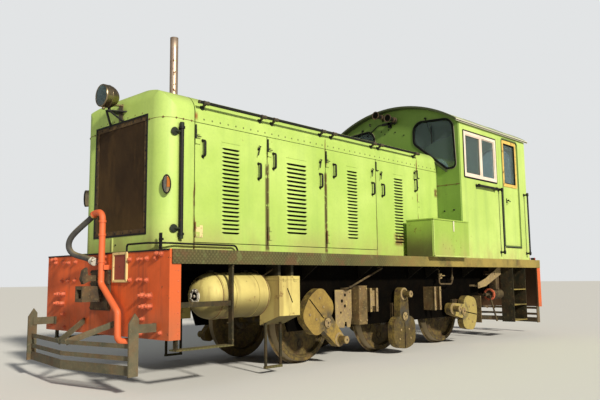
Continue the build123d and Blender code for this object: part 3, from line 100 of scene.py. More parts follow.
class Shade:
    """One material, its Principled shader and the nodes that feed it."""

    def __init__(self, name):
        self.material = bpy.data.materials.new(name)
        self.material.use_nodes = True
        self.tree = self.material.node_tree
        self.tree.nodes.clear()
        output = self.tree.nodes.new("ShaderNodeOutputMaterial")
        self.bsdf = self.tree.nodes.new("ShaderNodeBsdfPrincipled")
        self.tree.links.new(self.bsdf.outputs["BSDF"], output.inputs["Surface"])
        self.place = self.tree.nodes.new("ShaderNodeTexCoord")
        self.x, self.y, self.z = self.parts("Object")
        self.nx, self.ny, self.nz = self.parts("Normal")

    def parts(self, output):
        split = self.node("ShaderNodeSeparateXYZ", Vector=self.place.outputs[output])
        return [Value(self, split.outputs[axis]) for axis in "XYZ"]

    def node(self, kind, **inputs):
        made = self.tree.nodes.new(kind)
        for key, value in inputs.items():
            self.put(made.inputs[key], value)
        return made

    def put(self, socket, value):
        if isinstance(value, Value):
            self.tree.links.new(value.socket, socket)
        elif isinstance(value, bpy.types.NodeSocket):
            self.tree.links.new(value, socket)
        elif isinstance(value, tuple) and socket.type == "RGBA":
            socket.default_value = (*value, 1.0)
        else:
            socket.default_value = value

    def math(self, operation, *terms):
        made = self.tree.nodes.new("ShaderNodeMath")
        made.operation = operation
        for socket, term in zip(made.inputs, terms):
            self.put(socket, term)
        return Value(self, made.outputs[0])

    def waves(self, value, pitch):
        """Sine of a value, with a zero every pitch."""
        return self.math("SINE", value * (math.pi / pitch))

    def step(self, value, low, high):
        """0 at low and 1 at high, smooth between and clamped outside. low may be above high."""
        made = self.node("ShaderNodeMapRange", **{"Value": value, "From Min": low, "From Max": high})
        made.interpolation_type = "SMOOTHSTEP"
        return Value(self, made.outputs["Result"])

    def stretched(self, scale, shift=(0, 0, 0)):
        made = self.node("ShaderNodeMapping", Vector=self.place.outputs["Object"], Scale=scale,
                         Location=shift)
        return made.outputs["Vector"]

    def noise(self, scale, detail=3.0, rough=0.55, stretch=(1, 1, 1), shift=(0, 0, 0)):
        vector = self.stretched(stretch, shift)
        made = self.node("ShaderNodeTexNoise", Vector=vector, Scale=scale, Detail=detail, Roughness=rough)
        return Value(self, made.outputs["Fac"])

    def cracks(self, scale):
        """Distance to the nearest edge between irregular cells."""
        made = self.node("ShaderNodeTexVoronoi", Vector=self.stretched((1, 1, 1)), Scale=scale)
        made.feature = "DISTANCE_TO_EDGE"
        return Value(self, made.outputs["Distance"])

    def spots(self, scale, low, high, detail=5.0, rough=0.6, stretch=(1, 1, 1), shift=(0, 0, 0)):
        return self.step(self.noise(scale, detail, rough, stretch, shift), low, high)

    def crevice(self, distance, low, high):
        """1 in corners and gaps within a distance, 0 on open faces."""
        made = self.node("ShaderNodeAmbientOcclusion", Distance=distance)
        made.samples = 6
        return self.step(Value(self, made.outputs["AO"]), high, low)

    def any_of(self, *values):
        """Union of masks."""
        result = values[0]
        for value in values[1:]:
            result = self.math("MAXIMUM", result, value)
        return result

    def layered(self, color, *layers):
        """The colour under layers of (mask, colour), each laid over the last."""
        for mask, over in layers:
            made = self.tree.nodes.new("ShaderNodeMix")
            made.data_type = "RGBA"
            for socket, value in zip((made.inputs["Factor"], made.inputs[6], made.inputs[7]),
                                     (mask, color, over)):
                self.put(socket, value)
            color = made.outputs[2]
        return color

    def finish(self, color, rough, height=None, distance=0.002, strength=0.5, **others):
        """Fills in the shader, other sockets named with underscores, and returns the material."""
        self.put(self.bsdf.inputs["Base Color"], color)
        self.put(self.bsdf.inputs["Roughness"], rough)
        for key, value in others.items():
            self.put(self.bsdf.inputs[key.replace("_", " ")], value)
        if height:
            bump = self.node("ShaderNodeBump", Height=height, Distance=distance, Strength=strength)
            self.put(self.bsdf.inputs["Normal"], bump.outputs["Normal"])
        return self.material


# Colours, as linear light

LIME = (0.40, 0.565, 0.115)
LIME_PALE = (0.50, 0.66, 0.165)
LIME_DEEP = (0.25, 0.39, 0.105)
RUST = (0.135, 0.056, 0.018)
RUST_DARK = (0.075, 0.032, 0.016)
RUST_BRIGHT = (0.30, 0.105, 0.026)
DUST = (0.38, 0.285, 0.115)
# Grime, also laid as painted shade in corners and gaps
GRIME_AND_SHADE = (0.045, 0.038, 0.028)
BUFFER_RED = (0.80, 0.120, 0.016)
BUFFER_BROWN = (0.56, 0.084, 0.012)
SALMON = (0.70, 0.140, 0.042)
CREAM = (0.66, 0.565, 0.190)


def shaded(color, share):
    return tuple(share * part for part in color)


def paint(name, base, pale, deep, rust_at=0.66, dust_low=1.30, dust_high=1.75, seams=(), grime_and_shade=0.5, stains=(),
          front_dirt_and_shade=0.0):
    """Weathered gloss paint: faded and streaked, rusty at its seams and dusty near the deck, with painted
    shade in its corners and gaps and on its upward faces.
    """
    s = Shade(name)
    cloud = s.spots(0.9, 0.32, 0.70, detail=4.0)
    streak = s.spots(5.0, 0.46, 0.74, stretch=(1.0, 1.0, 0.07))
    fine = s.spots(38.0, 0.40, 0.75, detail=3.0)
    low_dust = s.step(s.z, dust_high, dust_low) * s.spots(3.2, 0.30, 0.66, stretch=(1.0, 1.0, 0.5))
    # Dust and painted shade: upward faces go a darker green
    top_dust_and_shade = s.step(s.nz, 0.35, 0.95) * s.spots(2.4, 0.25, 0.7)
    color = s.layered(base, (cloud, pale), (streak * 0.32, deep), (fine * 0.14, deep),
                      (low_dust * 0.55, DUST), (top_dust_and_shade * 0.55, (0.25, 0.29, 0.11)))
    if front_dirt_and_shade:
        # Dirt and painted shade on forward faces, low down
        front = s.step(s.nx, 0.5, 0.9) * s.step(s.z, 1.86, 1.40) * s.spots(2.0, 0.05, 0.50)
        color = s.layered(color, (front * front_dirt_and_shade, (0.050, 0.042, 0.014)))
    # Grime and painted shade: darker in corners and gaps, where shade falls
    gap = s.crevice(0.055, 0.35, 0.80)
    color = s.layered(color, (gap * grime_and_shade, GRIME_AND_SHADE))
    chips = s.spots(16.0, rust_at, rust_at + 0.045, detail=7.0, rough=0.68)
    chips = chips * s.any_of(s.spots(1.6, 0.50, 0.68, detail=3.0), gap * 0.9)
    if seams:
        near_seam = s.any_of(*[s.step(abs(s.x - seam), 0.022, 0.006) for seam in seams])
        chips = s.any_of(chips, near_seam * s.spots(9.0, 0.47, 0.62, detail=6.0, stretch=(1.6, 1.0, 0.35)))
    rust = s.layered(RUST_DARK, (s.spots(60.0, 0.35, 0.7, detail=4.0), RUST_BRIGHT), (0.5, RUST))
    # Stains, and on the hood two strips of painted shadow down its seams
    for x, half, low, high, mark_color in stains:
        patch = s.step(abs(s.x - x), half * 1.5, half * 0.6) * s.step(s.z, high + 0.03, high - 0.03)
        patch = patch * s.step(s.z, low - 0.03, low + 0.03) * s.spots(14.0, 0.34, 0.46, detail=6.0)
        color = s.layered(color, (patch * 0.9, mark_color))
    height = s.noise(2.6, 2.0, 0.5) + s.noise(210.0, 2.0, 0.5) * 0.05 - chips * 0.12
    return s.finish(s.layered(color, (chips, rust)), 0.40 + 0.22 * cloud + 0.30 * chips + 0.25 * low_dust,
                    height, 0.006, 0.30)


def dusty_steel(name, base, dust_amount=0.75, oil=0.35, dust_color=DUST, rust_amount=0.5, rough=0.78,
                shine=0.4, shade_above=None):
    """Dark running gear under sandy dust, with oil and rust showing through, dust thinned to painted shade in
    corners and, where asked, painted shadow above a height.
    """
    s = Shade(name)
    rust = s.spots(7.0, 0.40, 0.66) * rust_amount
    upward = s.step(s.nz, -0.35, 0.75)
    cake = s.spots(4.5, 0.30, 0.62, detail=6.0, rough=0.62)
    dust = s.any_of(upward * 0.85 * cake + upward * 0.20, cake * 0.62) * dust_amount
    # Dust thins in corners and gaps, leaving them darker as painted shade
    dust = dust * (1.0 - s.crevice(0.10, 0.25, 0.85) * 0.55)
    damp = s.spots(3.1, 0.58, 0.70, detail=4.0, shift=(3.1, 1.7, 0.4)) * oil
    speck = s.spots(30.0, 0.56, 0.64, detail=7.0, rough=0.7)
    sand = s.layered(dust_color, (s.spots(22.0, 0.3, 0.7, detail=4.0), (0.30, 0.215, 0.12)))
    color = s.layered(base, (rust, RUST), (dust, sand), (damp, GRIME_AND_SHADE),
                      (speck * min(1.0, dust_amount), dust_color))
    # Painted shadow of the deck: near black above a height
    if shade_above:
        color = s.layered(color, (s.step(s.z, shade_above - 0.05, shade_above + 0.02) * 0.94,
                                  (0.004, 0.004, 0.003)))
    height = s.noise(34.0, 6.0, 0.65) + cake * 0.8 + speck * 0.4
    return s.finish(color, rough - 0.42 * damp + 0.12 * dust, height, 0.0035, 0.55, Specular_IOR_Level=shine)


def chipped(name, base, wear, wear_color, rough=0.45, scale=24.0, dust=0.25, shine=0.5):
    """Plain paint or metal with chips, stains and a little dust on top."""
    s = Shade(name)
    tone = s.spots(3.4, 0.3, 0.7, detail=4.0)
    chips = s.spots(scale, wear, wear + 0.06, detail=6.0, rough=0.66)
    top = s.step(s.nz, 0.2, 0.95) * s.spots(6.0, 0.3, 0.65, detail=4.0) * dust
    lighter = tuple(min(1.0, part * 1.7 + 0.002) for part in base)
    color = s.layered(base, (tone * 0.35, lighter), (chips, wear_color), (top, DUST))
    return s.finish(color, rough + 0.18 * tone + 0.25 * chips + 0.2 * top,
                    s.noise(70.0, 4.0, 0.6) * 0.5 - chips * 0.5, 0.0012, Specular_IOR_Level=shine)


def headstock_red(name):
    """Faded signal red, dirty low down, with nearly black inner faces, side returns toned as painted light,
    and rust and painted shade in its corners.
    """
    s = Shade(name)
    tone = s.spots(1.7, 0.32, 0.68)
    streak = s.spots(7.0, 0.48, 0.70, stretch=(1.0, 1.0, 0.09))
    # Painted light: the side returns take a tone of their own beside the front
    side = s.step(abs(s.ny), 0.5, 0.9)
    inner = s.step(s.x * s.nx, -1.5, -3.0)
    dirt = s.step(s.z, 0.95, 0.45) * s.spots(4.0, 0.28, 0.62, detail=6.0)
    chips = s.spots(19.0, 0.645, 0.69, detail=7.0, rough=0.7)
    color = s.layered(BUFFER_RED, (tone, BUFFER_BROWN), (streak * 0.5, (0.13, 0.030, 0.016)),
                      (side * 0.9, (0.60, 0.110, 0.024)), (inner * 0.96, (0.052, 0.034, 0.012)),
                      (dirt * 0.45, (0.22, 0.115, 0.06)),
                      (s.any_of(chips, s.crevice(0.06, 0.35, 0.8) * 0.55), RUST_DARK))
    return s.finish(color, 0.55 + 0.15 * tone + 0.2 * chips,
                    s.noise(90.0, 5.0, 0.6) * 0.4 + tone * 0.6 - chips, 0.0018)


def salmon_pipe(name):
    s = Shade(name)
    tone = s.spots(3.2, 0.3, 0.7)
    # Last layer: rust and painted shade in the pipe's corners
    color = s.layered(SALMON, (tone * 0.6, (0.58, 0.105, 0.030)),
                      (s.spots(30.0, 0.66, 0.71, detail=6.0), (0.16, 0.05, 0.03)),
                      (s.crevice(0.03, 0.3, 0.8) * 0.5, RUST_DARK))
    return s.finish(color, 0.48 + 0.2 * tone, s.noise(120.0, 4.0, 0.6), 0.0008, 0.4)


def chequer(name, upright=False):
    """Worn chequer plate: raised lozenges in a crossed pattern, dirt between and bare metal on top, and
    painted shade near black on its undersides.
    """
    s = Shade(name)
    across = s.z if upright else s.y
    cross = s.waves(s.x + across, 0.045) * s.waves(s.x - across, 0.045)
    raised = s.step(abs(cross), 0.35, 0.80)
    tone = s.spots(1.8, 0.3, 0.7)
    tan = s.step(s.x, 1.6, -1.6) * s.spots(3.0, 0.20, 0.60, shift=(2.0, 0.0, 1.0)) * 0.9
    dust = s.step(s.nz, 0.3, 0.9) * s.spots(2.6, 0.30, 0.62, detail=6.0)
    color = s.layered((0.050, 0.046, 0.013), (tone, (0.085, 0.074, 0.022)),
                      (raised * 0.45, (0.145, 0.128, 0.042)),
                      (s.spots(5.5, 0.50, 0.66, detail=6.0) * 0.65, (0.125, 0.060, 0.024)),
                      (s.spots(9.0, 0.56, 0.68) * 0.5, (0.14, 0.17, 0.055)), (tan, (0.34, 0.255, 0.060)),
                      (dust * 0.45, (0.25, 0.20, 0.09)), (s.step(s.nz, -0.3, -0.8), (0.008, 0.007, 0.005)))
    return s.finish(color, 0.78 - 0.18 * raised + 0.1 * tone, raised + s.noise(60.0, 5.0, 0.6) * 0.25, 0.0022,
                    0.8)


def tank_cream(name, shade=1.0, front_shade=0.0, shade_above=1.112):
    """Dusty cream enamel, with grime and painted shade in its corners, painted shade underneath and on the
    hangers above it, and where asked on its forward faces.
    """
    s = Shade(name)
    tone = s.spots(2.1, 0.3, 0.7)
    patch = s.spots(5.0, 0.60, 0.66, detail=7.0, rough=0.7)
    front = s.step(s.nx, 0.6, 0.9) * front_shade
    color = s.layered(shaded(CREAM, shade), (tone, shaded((0.52, 0.42, 0.135), shade)),
                      (s.spots(8.0, 0.50, 0.66, stretch=(1.0, 0.6, 0.12)) * 0.50, (0.25, 0.16, 0.050)),
                      (s.step(s.nz, 0.25, -0.65) * 0.85, (0.070, 0.050, 0.012)), (patch * 0.8, RUST),
                      (s.crevice(0.06, 0.3, 0.8) * 0.6, GRIME_AND_SHADE), (front, (0.17, 0.11, 0.030)),
                      (s.step(s.z, shade_above, shade_above + 0.008) * 0.96, (0.005, 0.005, 0.004)))
    return s.finish(color, 0.70 + 0.12 * tone, s.noise(40.0, 6.0, 0.65) + patch * 0.5)


def wheel_steel(name, axle_x, face=None, face_share=0.0):
    """Dusty steel turned about an axle: a wheel with a bright tread, or a crank with a coloured face that
    also carries painted light and shade; grime and painted shade in its corners.
    """
    s = Shade(name)
    reach = s.math("SQRT", (s.x - axle_x) * (s.x - axle_x) + (s.z - AXLE_Z) * (s.z - AXLE_Z))
    cake = s.spots(8.0, 0.30, 0.62, detail=8.0, rough=0.70)
    dust = s.layered((0.38, 0.270, 0.050), (s.spots(34.0, 0.3, 0.7, detail=4.0), (0.15, 0.100, 0.020)))
    oil = s.step(reach, 0.20, 0.09) * s.spots(14.0, 0.38, 0.58, detail=4.0)
    color = s.layered((0.022, 0.016, 0.009), (s.spots(9.0, 0.42, 0.62) * 0.6, RUST_DARK),
                      (cake * (0.70 if face else 0.38), dust))
    if face:
        color = s.layered(color, (s.step(abs(s.ny), 0.75, 0.95) * face_share, face))
    color = s.layered(color, (oil * 0.85, GRIME_AND_SHADE), (s.crevice(0.08, 0.3, 0.85) * 0.5, GRIME_AND_SHADE))
    rough, metal = 0.80 - 0.45 * oil, 0.0
    if not face:
        tread = s.step(abs(s.ny), 0.45, 0.2) * s.step(reach, 0.462, 0.470)
        color = s.layered(color, (tread * 0.85, (0.33, 0.26, 0.15)))
        rough, metal = rough - tread * 0.35, tread * 0.6
    return s.finish(color, rough, s.noise(46.0, 6.0, 0.65) + cake * 0.6, 0.003, Metallic=metal)


def roof_paint(name):
    """Cab roof: pale cream gutter edges, dusty green top, and dark painted shade on its underside and its
    front and rear edges.
    """
    s = Shade(name)
    tone = s.spots(1.2, 0.3, 0.7)
    chips = s.spots(15.0, 0.64, 0.68, detail=7.0, rough=0.7)
    dark = s.any_of(s.step(s.nz, -0.25, -0.45), s.step(abs(s.nx), 0.7, 0.9))
    color = s.layered((0.33, 0.40, 0.20), (tone, (0.42, 0.46, 0.27)),
                      (s.spots(6.0, 0.48, 0.70, stretch=(0.10, 1.0, 1.0)) * 0.5, (0.17, 0.17, 0.11)),
                      (s.step(abs(s.y), 1.243, 1.247), (0.62, 0.60, 0.47)), (dark, (0.060, 0.075, 0.032)),
                      (chips, RUST))
    return s.finish(color, 0.62 + 0.15 * tone,
                    s.noise(3.0, 2.0, 0.5) + s.noise(80.0, 4.0, 0.6) * 0.1 - chips * 0.2, 0.006, 0.3)


def stack_metal(name):
    """Heat-stained bare steel: brown low down and pale along its height."""
    s = Shade(name)
    band = s.spots(4.0, 0.30, 0.68, stretch=(2.0, 2.0, 0.4))
    soot = s.step(s.z, 3.74, 3.92)
    rusty = s.spots(22.0, 0.55, 0.66, detail=6.0)
    color = s.layered((0.40, 0.26, 0.18), (band, (0.56, 0.43, 0.33)), (soot * 0.7, (0.045, 0.035, 0.03)),
                      (rusty, RUST))
    return s.finish(color, 0.38 + 0.35 * rusty + 0.3 * soot, s.noise(70.0, 5.0, 0.6), 0.001, 0.4,
                    Metallic=0.75 - 0.6 * s.any_of(rusty, soot))


def grille_mesh(name):
    """Fine wire mesh over the core, dark brown and dusty, near black between the wires as painted shade in
    the openings.
    """
    s = Shade(name)
    wire = s.any_of(*[s.step(abs(s.waves(value, 0.012)), 0.55, 0.85) for value in (s.z, s.y)])
    lit = s.layered((0.038, 0.021, 0.010), (s.spots(2.2, 0.3, 0.7), (0.066, 0.037, 0.016)),
                    (s.spots(6.0, 0.48, 0.64, detail=6.0, stretch=(1.0, 1.0, 0.4)) * 0.6,
                     (0.105, 0.058, 0.021)), (s.step(s.z, 1.95, 1.50) * 0.45, (0.16, 0.098, 0.034)))
    return s.finish(s.layered((0.006, 0.005, 0.003), (wire, lit)), 0.82, wire, 0.004, 0.9,
                    Specular_IOR_Level=0.15)


def glass(name, tint, rough=0.03, dirt=0.25):
    s = Shade(name)
    film = s.spots(2.4, 0.35, 0.75) * dirt
    color = s.layered(tint, (film, (0.55, 0.53, 0.44)))
    return s.finish(color, rough + film * 0.5, Transmission_Weight=0.92, IOR=1.45)


def lens(name, color, strength):
    s = Shade(name)
    mottled = s.layered(color, (s.spots(20.0, 0.3, 0.7, detail=4.0) * 0.4, shaded(color, 0.5)))
    return s.finish(mottled, 0.16, s.waves(s.z, 0.004), 0.0008, Transmission_Weight=strength)


def bright_metal(name, base, rough, pit):
    s = Shade(name)
    tone = s.spots(9.0, 0.35, 0.7, detail=4.0)
    pits = s.spots(42.0, pit, pit + 0.05, detail=6.0)
    color = s.layered(base, (tone * 0.5, shaded(base, 0.55)), (pits, (0.15, 0.10, 0.06)))
    return s.finish(color, rough + 0.15 * tone + 0.4 * pits, s.noise(60.0, 4.0, 0.5), 0.0005, 0.3,
                    Metallic=1.0 - 0.8 * pits)


def ribbed_rubber(name):
    s = Shade(name)
    dust = s.step(s.nz, 0.1, 0.9) * s.spots(5.0, 0.3, 0.6, detail=4.0)
    color = s.layered((0.030, 0.030, 0.030), (s.spots(6.0, 0.3, 0.7, detail=4.0), (0.075, 0.070, 0.062)),
                      (dust * 0.45, DUST))
    return s.finish(color, 0.72, s.noise(60.0, 4.0, 0.6), 0.001, 0.4)


def leather(name):
    s = Shade(name)
    tone = s.spots(7.0, 0.3, 0.7)
    line = s.step(s.cracks(120.0), 0.10, 0.02)
    color = s.layered((0.020, 0.018, 0.017), (tone, (0.050, 0.044, 0.038)),
                      (line * 0.6, (0.10, 0.085, 0.065)))
    return s.finish(color, 0.46 + 0.2 * tone, s.noise(90.0, 5.0, 0.6) - line * 0.6, 0.0015)


# Outlines


def rect(u0, u1, v0, v1):
    return [(u0, v0), (u1, v0), (u1, v1), (u0, v1)]


def grown(corners, amount):
    """Corners of a counter-clockwise outline moved outward by an amount."""
    moved = []
    count = len(corners)
    for index in range(count):
        last, here, following = (Vector(corners[(index + k) % count]) for k in (-1, 0, 1))
        into = (here - last).normalized()
        out = (following - here).normalized()
        normal = Vector((into.y, -into.x))
        middle = (normal + Vector((out.y, -out.x))).normalized()
        moved.append(tuple(here + middle * (amount / middle.dot(normal))))
    return moved


def rounded(corners, radii, steps=6):
    """Outline with an arc of its own radius at each corner."""
    points = []
    count = len(corners)
    for index, radius in enumerate(radii):
        last, here, following = (Vector(corners[(index + k) % count]) for k in (-1, 0, 1))
        into = (last - here).normalized()
        out = (following - here).normalized()
        half = into.angle(out) / 2
        centre = here + (into + out).normalized() * (radius / math.sin(half))
        first = here + into * (radius / math.tan(half)) - centre
        final = here + out * (radius / math.tan(half)) - centre
        for k in range(steps + 1):
            spoke = first.lerp(final, k / steps)
            spoke.length = radius
            points.append(tuple(centre + spoke))
    return points


def window_outline(corners, radii, amount):
    return rounded(grown(corners, amount), [max(radius + amount, 0.004) for radius in radii])


# Meshes


def around(count, radius, start=0.0):
    """Pairs of offsets evenly spaced on a circle, the first at an angle in degrees."""
    turns = [math.radians(start + 360 * index / count) for index in range(count)]
    return [(radius * math.cos(turn), radius * math.sin(turn)) for turn in turns]


def triad(axis):
    """Unit vector along the axis, and two at right angles to it."""
    axis = Vector(axis).normalized()
    side = axis.orthogonal().normalized()
    return axis, side, axis.cross(side)


class Mesh:
    """Collects closed shapes, each given in the row frame, into one object."""

    def __init__(self, verts=(), faces=()):
        self.verts = list(verts)
        self.faces = list(faces)

    def add(self, verts, faces):
        base = len(self.verts)
        self.verts.extend(Vector(v) for v in verts)
        self.faces.extend(tuple(base + i for i in face) for face in faces)

    def skin(self, sections, closed=False):
        """Surface through sections with as many points each, capped at its ends or closed on itself."""
        count, rows = len(sections[0]), len(sections)
        faces = [] if closed else [tuple(reversed(range(count))),
                                   tuple(range((rows - 1) * count, rows * count))]
        for row in range(rows if closed else rows - 1):
            a, b = row * count, (row + 1) % rows * count
            faces += [(a + i, a + (i + 1) % count, b + (i + 1) % count, b + i) for i in range(count)]
        self.add([point for section in sections for point in section], faces)

    def box(self, low, high):
        self.prism(rect(low[0], high[0], low[1], high[1]), (0, 0, low[2]), X, Y, high[2] - low[2])

    def prism(self, outline, origin, u, v, depth):
        """Closed outline in the plane of u and v, extruded along u x v."""
        low = [Vector(origin) + u * a + v * b for a, b in outline]
        self.skin([low, [point + u.cross(v) * depth for point in low]])

    def band(self, outer, inner, origin, u, v, depth):
        """Flat ring between two outlines with as many points, extruded along u x v."""
        rise = u.cross(v) * depth
        sections = []
        for pair in zip(outer, inner):
            low = [Vector(origin) + u * a + v * b for a, b in pair]
            sections.append([low[0], low[1], low[1] + rise, low[0] + rise])
        self.skin(sections, closed=True)

    def side_plate(self, outline, y, thickness):
        """Outline of stations and heights at Y, its thickness outward."""
        self.prism(outline, (0, y, 0), X, Z, -thickness)

    def side_frame(self, outer, inner, y, thickness):
        self.band(outer, inner, (0, y, 0), X, Z, -thickness)

    def front_plate(self, outline, x, thickness):
        """Outline of Y and heights at X, its thickness forward."""
        self.prism(outline, (x, 0, 0), Y, Z, thickness)

    def front_frame(self, outer, inner, x, thickness):
        self.band(outer, inner, (x, 0, 0), Y, Z, thickness)

    def lathe(self, profile, origin, axis, sides=24):
        """Profile of (radius, distance along the axis) turned about the axis. Ends at radius 0 close."""
        axis, side, other = triad(axis)
        verts, rings, faces = [], [], []
        for radius, along in profile:
            count = sides if radius else 1
            rings.append([len(verts) + index % count for index in range(sides)])
            verts += [Vector(origin) + axis * along + side * a + other * b for a, b in around(count, radius)]
        for low, high in zip(rings, rings[1:]):
            for last, here in zip(range(-1, sides - 1), range(sides)):
                faces.append(tuple(dict.fromkeys((low[last], low[here], high[here], high[last]))))
        faces += [tuple(ring) for ring in (rings[0], rings[-1]) if ring[0] != ring[1]]
        self.add(verts, faces)

    def ring(self, profile, origin, axis, sides=32):
        """Closed profile of (radius, distance along the axis) turned about the axis."""
        axis, side, other = triad(axis)
        self.skin([[Vector(origin) + axis * along + (side * a + other * b) * radius for radius,
                    along in profile] for a, b in around(sides, 1.0)], closed=True)

    def rod(self, start, end, radius, sides=16):
        way = Vector(end) - Vector(start)
        self.lathe([(radius, 0), (radius, way.length)], start, way, sides)

    def bolt(self, place, axis, radius=0.014, height=0.010, sides=6):
        profile = [(radius, 0), (radius, height * 0.8), (radius * 0.8, height), (0, height)]
        self.lathe(profile, place, axis, sides)

    def rivet(self, place, axis, radius, height):
        profile = [(radius, 0), (radius * 0.85, height * 0.6), (radius * 0.45, height), (0, height)]
        self.lathe(profile, place, axis, 8)

    def tube(self, points, radius, sides=12, smooth=True, steps=4):
        """Round tube through points. Corners are rounded with a few sections each."""
        points = [Vector(point) for point in points]
        path = [points[0]]
        for last, here, following in zip(points, points[1:], points[2:]):
            reach = min((here - last).length * 0.45, (following - here).length * 0.45,
                        radius * 4) if smooth else 0
            a = here + (last - here).normalized() * reach
            b = here + (following - here).normalized() * reach
            for index in range(steps + 1):
                t = index / steps
                path.append(a * (1 - t) ** 2 + here * 2 * t * (1 - t) + b * t ** 2)
        path.append(points[-1])
        normal = (path[1] - path[0]).orthogonal().normalized()
        sections = []
        for last, here, following in zip(path[:1] + path, path, path[1:] + path[-1:]):
            ahead = (following - last).normalized()
            normal = (normal - ahead * normal.dot(ahead)).normalized()
            other = ahead.cross(normal)
            sections.append([here + normal * a + other * b for a, b in around(sides, radius)])
        self.skin(sections)

    def flipped(self):
        """Mirror image on the other side of the centreline."""
        return Mesh([Vector((v.x, -v.y, v.z)) for v in self.verts], self.faces)

    def turned(self):
        """Copy turned half a turn about the vertical."""
        return Mesh([Vector((-v.x, -v.y, v.z)) for v in self.verts], self.faces)

    def join(self, other):
        self.add(other.verts, other.faces)
        return self

    def build(self, name, material, slot, body=ROOT, bevel=0.0, smooth=35.0):
        data = bpy.data.meshes.new(name)
        data.from_pydata(self.verts, [], self.faces)
        shell = bmesh.new()
        shell.from_mesh(data)
        bmesh.ops.recalc_face_normals(shell, faces=shell.faces)
        shell.to_mesh(data)
        shell.free()
        data.materials.append(material)
        made = linked(name, data)
        if bevel:
            edge = made.modifiers.new("edge", "BEVEL")
            edge.width = bevel
            edge.segments = 2
            edge.limit_method = "ANGLE"
            edge.angle_limit = math.radians(40)
        data.polygons.foreach_set("use_smooth", [True] * len(data.polygons))
        data.set_sharp_from_angle(angle=math.radians(smooth))
        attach(made, body)
        return made


def both_sides(mesh):
    return Mesh().join(mesh).join(mesh.flipped())


def both_ends(mesh):
    return Mesh().join(mesh).join(mesh.turned())


def build_each_side(body, *parts):
    """Builds left pieces and their mirror images on the right. {} in a name stands for the side.

    A part is its mesh, name, material and slot, and its bevel if it has one. The slot is not used.
    """
    for side in SIDES:
        for mesh, name, material, slot, *bevel in parts:
            made = mesh if side == "left" else mesh.flipped()
            made.build(name.format(side), material, slot, body.format(side), *bevel)


def finish_node(name, material):
    """Gives a CAD node its material."""
    data = NODES[name].data
    data.materials.clear()
    data.materials.append(material)


# Materials

# Columns: x, half width, lowest and highest edge, colour of each mark on the hood. The first two are painted
# shadow down the second and third seams, the rest stains.
HOOD_STAINS_AND_SHADOWS = (
    (at(1.640), 0.030, 1.36, 2.38, (0.085, 0.052, 0.020)),
    (at(2.680), 0.026, 1.36, 2.38, (0.085, 0.052, 0.020)),
    (at(0.600), 0.020, 2.73, 2.80, RUST_BRIGHT),
    (at(4.300), 0.110, 1.50, 1.68, (0.20, 0.115, 0.040)),
    (at(5.330), 0.045, 1.75, 1.95, RUST_BRIGHT),
    (at(5.340), 0.040, 2.30, 2.42, RUST),
)
GREEN = paint("lime_paint", LIME, LIME_PALE, LIME_DEEP, seams=[at(s) for s in SEAMS], stains=HOOD_STAINS_AND_SHADOWS)
GREEN_CAB = paint("lime_cab_paint", (0.44, 0.60, 0.135), (0.54, 0.69, 0.19), LIME_DEEP, dust_low=1.34,
                  dust_high=1.7)
# Shaded copy of the lime paint for the cab's front wall: painted shade
GREEN_SHADED = paint("green_shaded_paint", (0.155, 0.270, 0.044), (0.20, 0.320, 0.060), (0.10, 0.185, 0.034))
GREEN_BOX = paint("green_box_paint", (0.295, 0.450, 0.068), (0.36, 0.50, 0.090), (0.18, 0.27, 0.050),
                  rust_at=0.60, front_dirt_and_shade=0.85)
GREEN_TRIM = paint("lime_trim_paint", LIME_PALE, LIME, LIME_DEEP, rust_at=0.62, grime_and_shade=0.8)
RED = headstock_red("headstock_red")
PIPE_RED = salmon_pipe("salmon_pipe")
DECK = chequer("deck_chequer")
VALANCE = chequer("valance_chequer", upright=True)
# Near-black frame steel: painted shade for the shadow under the deck, with a trace of dust
FRAME = dusty_steel("frame_shade", (0.0014, 0.0013, 0.0013), dust_amount=0.007, oil=0.02, rust_amount=0.008,
                    shine=0.02)
AXLEBOX = dusty_steel("axlebox_dusty", (0.010, 0.008, 0.005), dust_amount=0.24, rust_amount=0.2, shine=0.2)
# Tan brackets, near black above 0.98 m as painted shadow of the deck
BRACKET = dusty_steel("bracket_dusty", (0.075, 0.052, 0.022), dust_amount=0.45, oil=0.7, rust_amount=0.4,
                      shine=0.2, shade_above=0.98)
SPRING = dusty_steel("spring_dusty", (0.016, 0.011, 0.007), dust_amount=0.30, rust_amount=0.3, shine=0.2)
BRAKE = dusty_steel("brake_dusty", (0.014, 0.011, 0.008), dust_amount=0.34, rust_amount=0.25, shine=0.3)
PILOT = dusty_steel("pilot_steel", (0.070, 0.068, 0.042), dust_amount=0.45, oil=0.1,
                    dust_color=(0.19, 0.165, 0.095))
COUPLER = dusty_steel("coupler_steel", (0.020, 0.017, 0.014), dust_amount=0.28, oil=0.6)
PLATE_TAN = dusty_steel("plate_tan", (0.20, 0.145, 0.080), dust_amount=0.80, oil=0.15, rust_amount=0.3,
                        dust_color=(0.46, 0.345, 0.120))
TANK = tank_cream("tank_cream")
# The boxes' forward faces and everything above 1.07 m take painted shade
BOX_CREAM = tank_cream("box_cream", 1.15, front_shade=0.55, shade_above=1.070)
ROOF = roof_paint("roof_paint")
STACK = stack_metal("stack_metal")
GRILLE = grille_mesh("grille_mesh")
BLACK = chipped("black_paint", (0.010, 0.010, 0.010), 0.64, RUST_DARK, rough=0.45, dust=0.10, shine=0.25)
HANDLE = chipped("handle_steel", (0.010, 0.010, 0.009), 0.62, RUST_DARK, rough=0.45, dust=0.08, shine=0.22)
STEP_STEEL = dusty_steel("step_steel", (0.012, 0.013, 0.007), dust_amount=0.13, oil=0.1, rust_amount=0.2,
                         shine=0.25)
INSIDE = chipped("cab_inside_paint", (0.095, 0.120, 0.075), 0.66, (0.05, 0.05, 0.04), rough=0.5)
ENGINE = dusty_steel("engine_paint", (0.085, 0.105, 0.095), dust_amount=0.25, oil=0.75, rough=0.6)
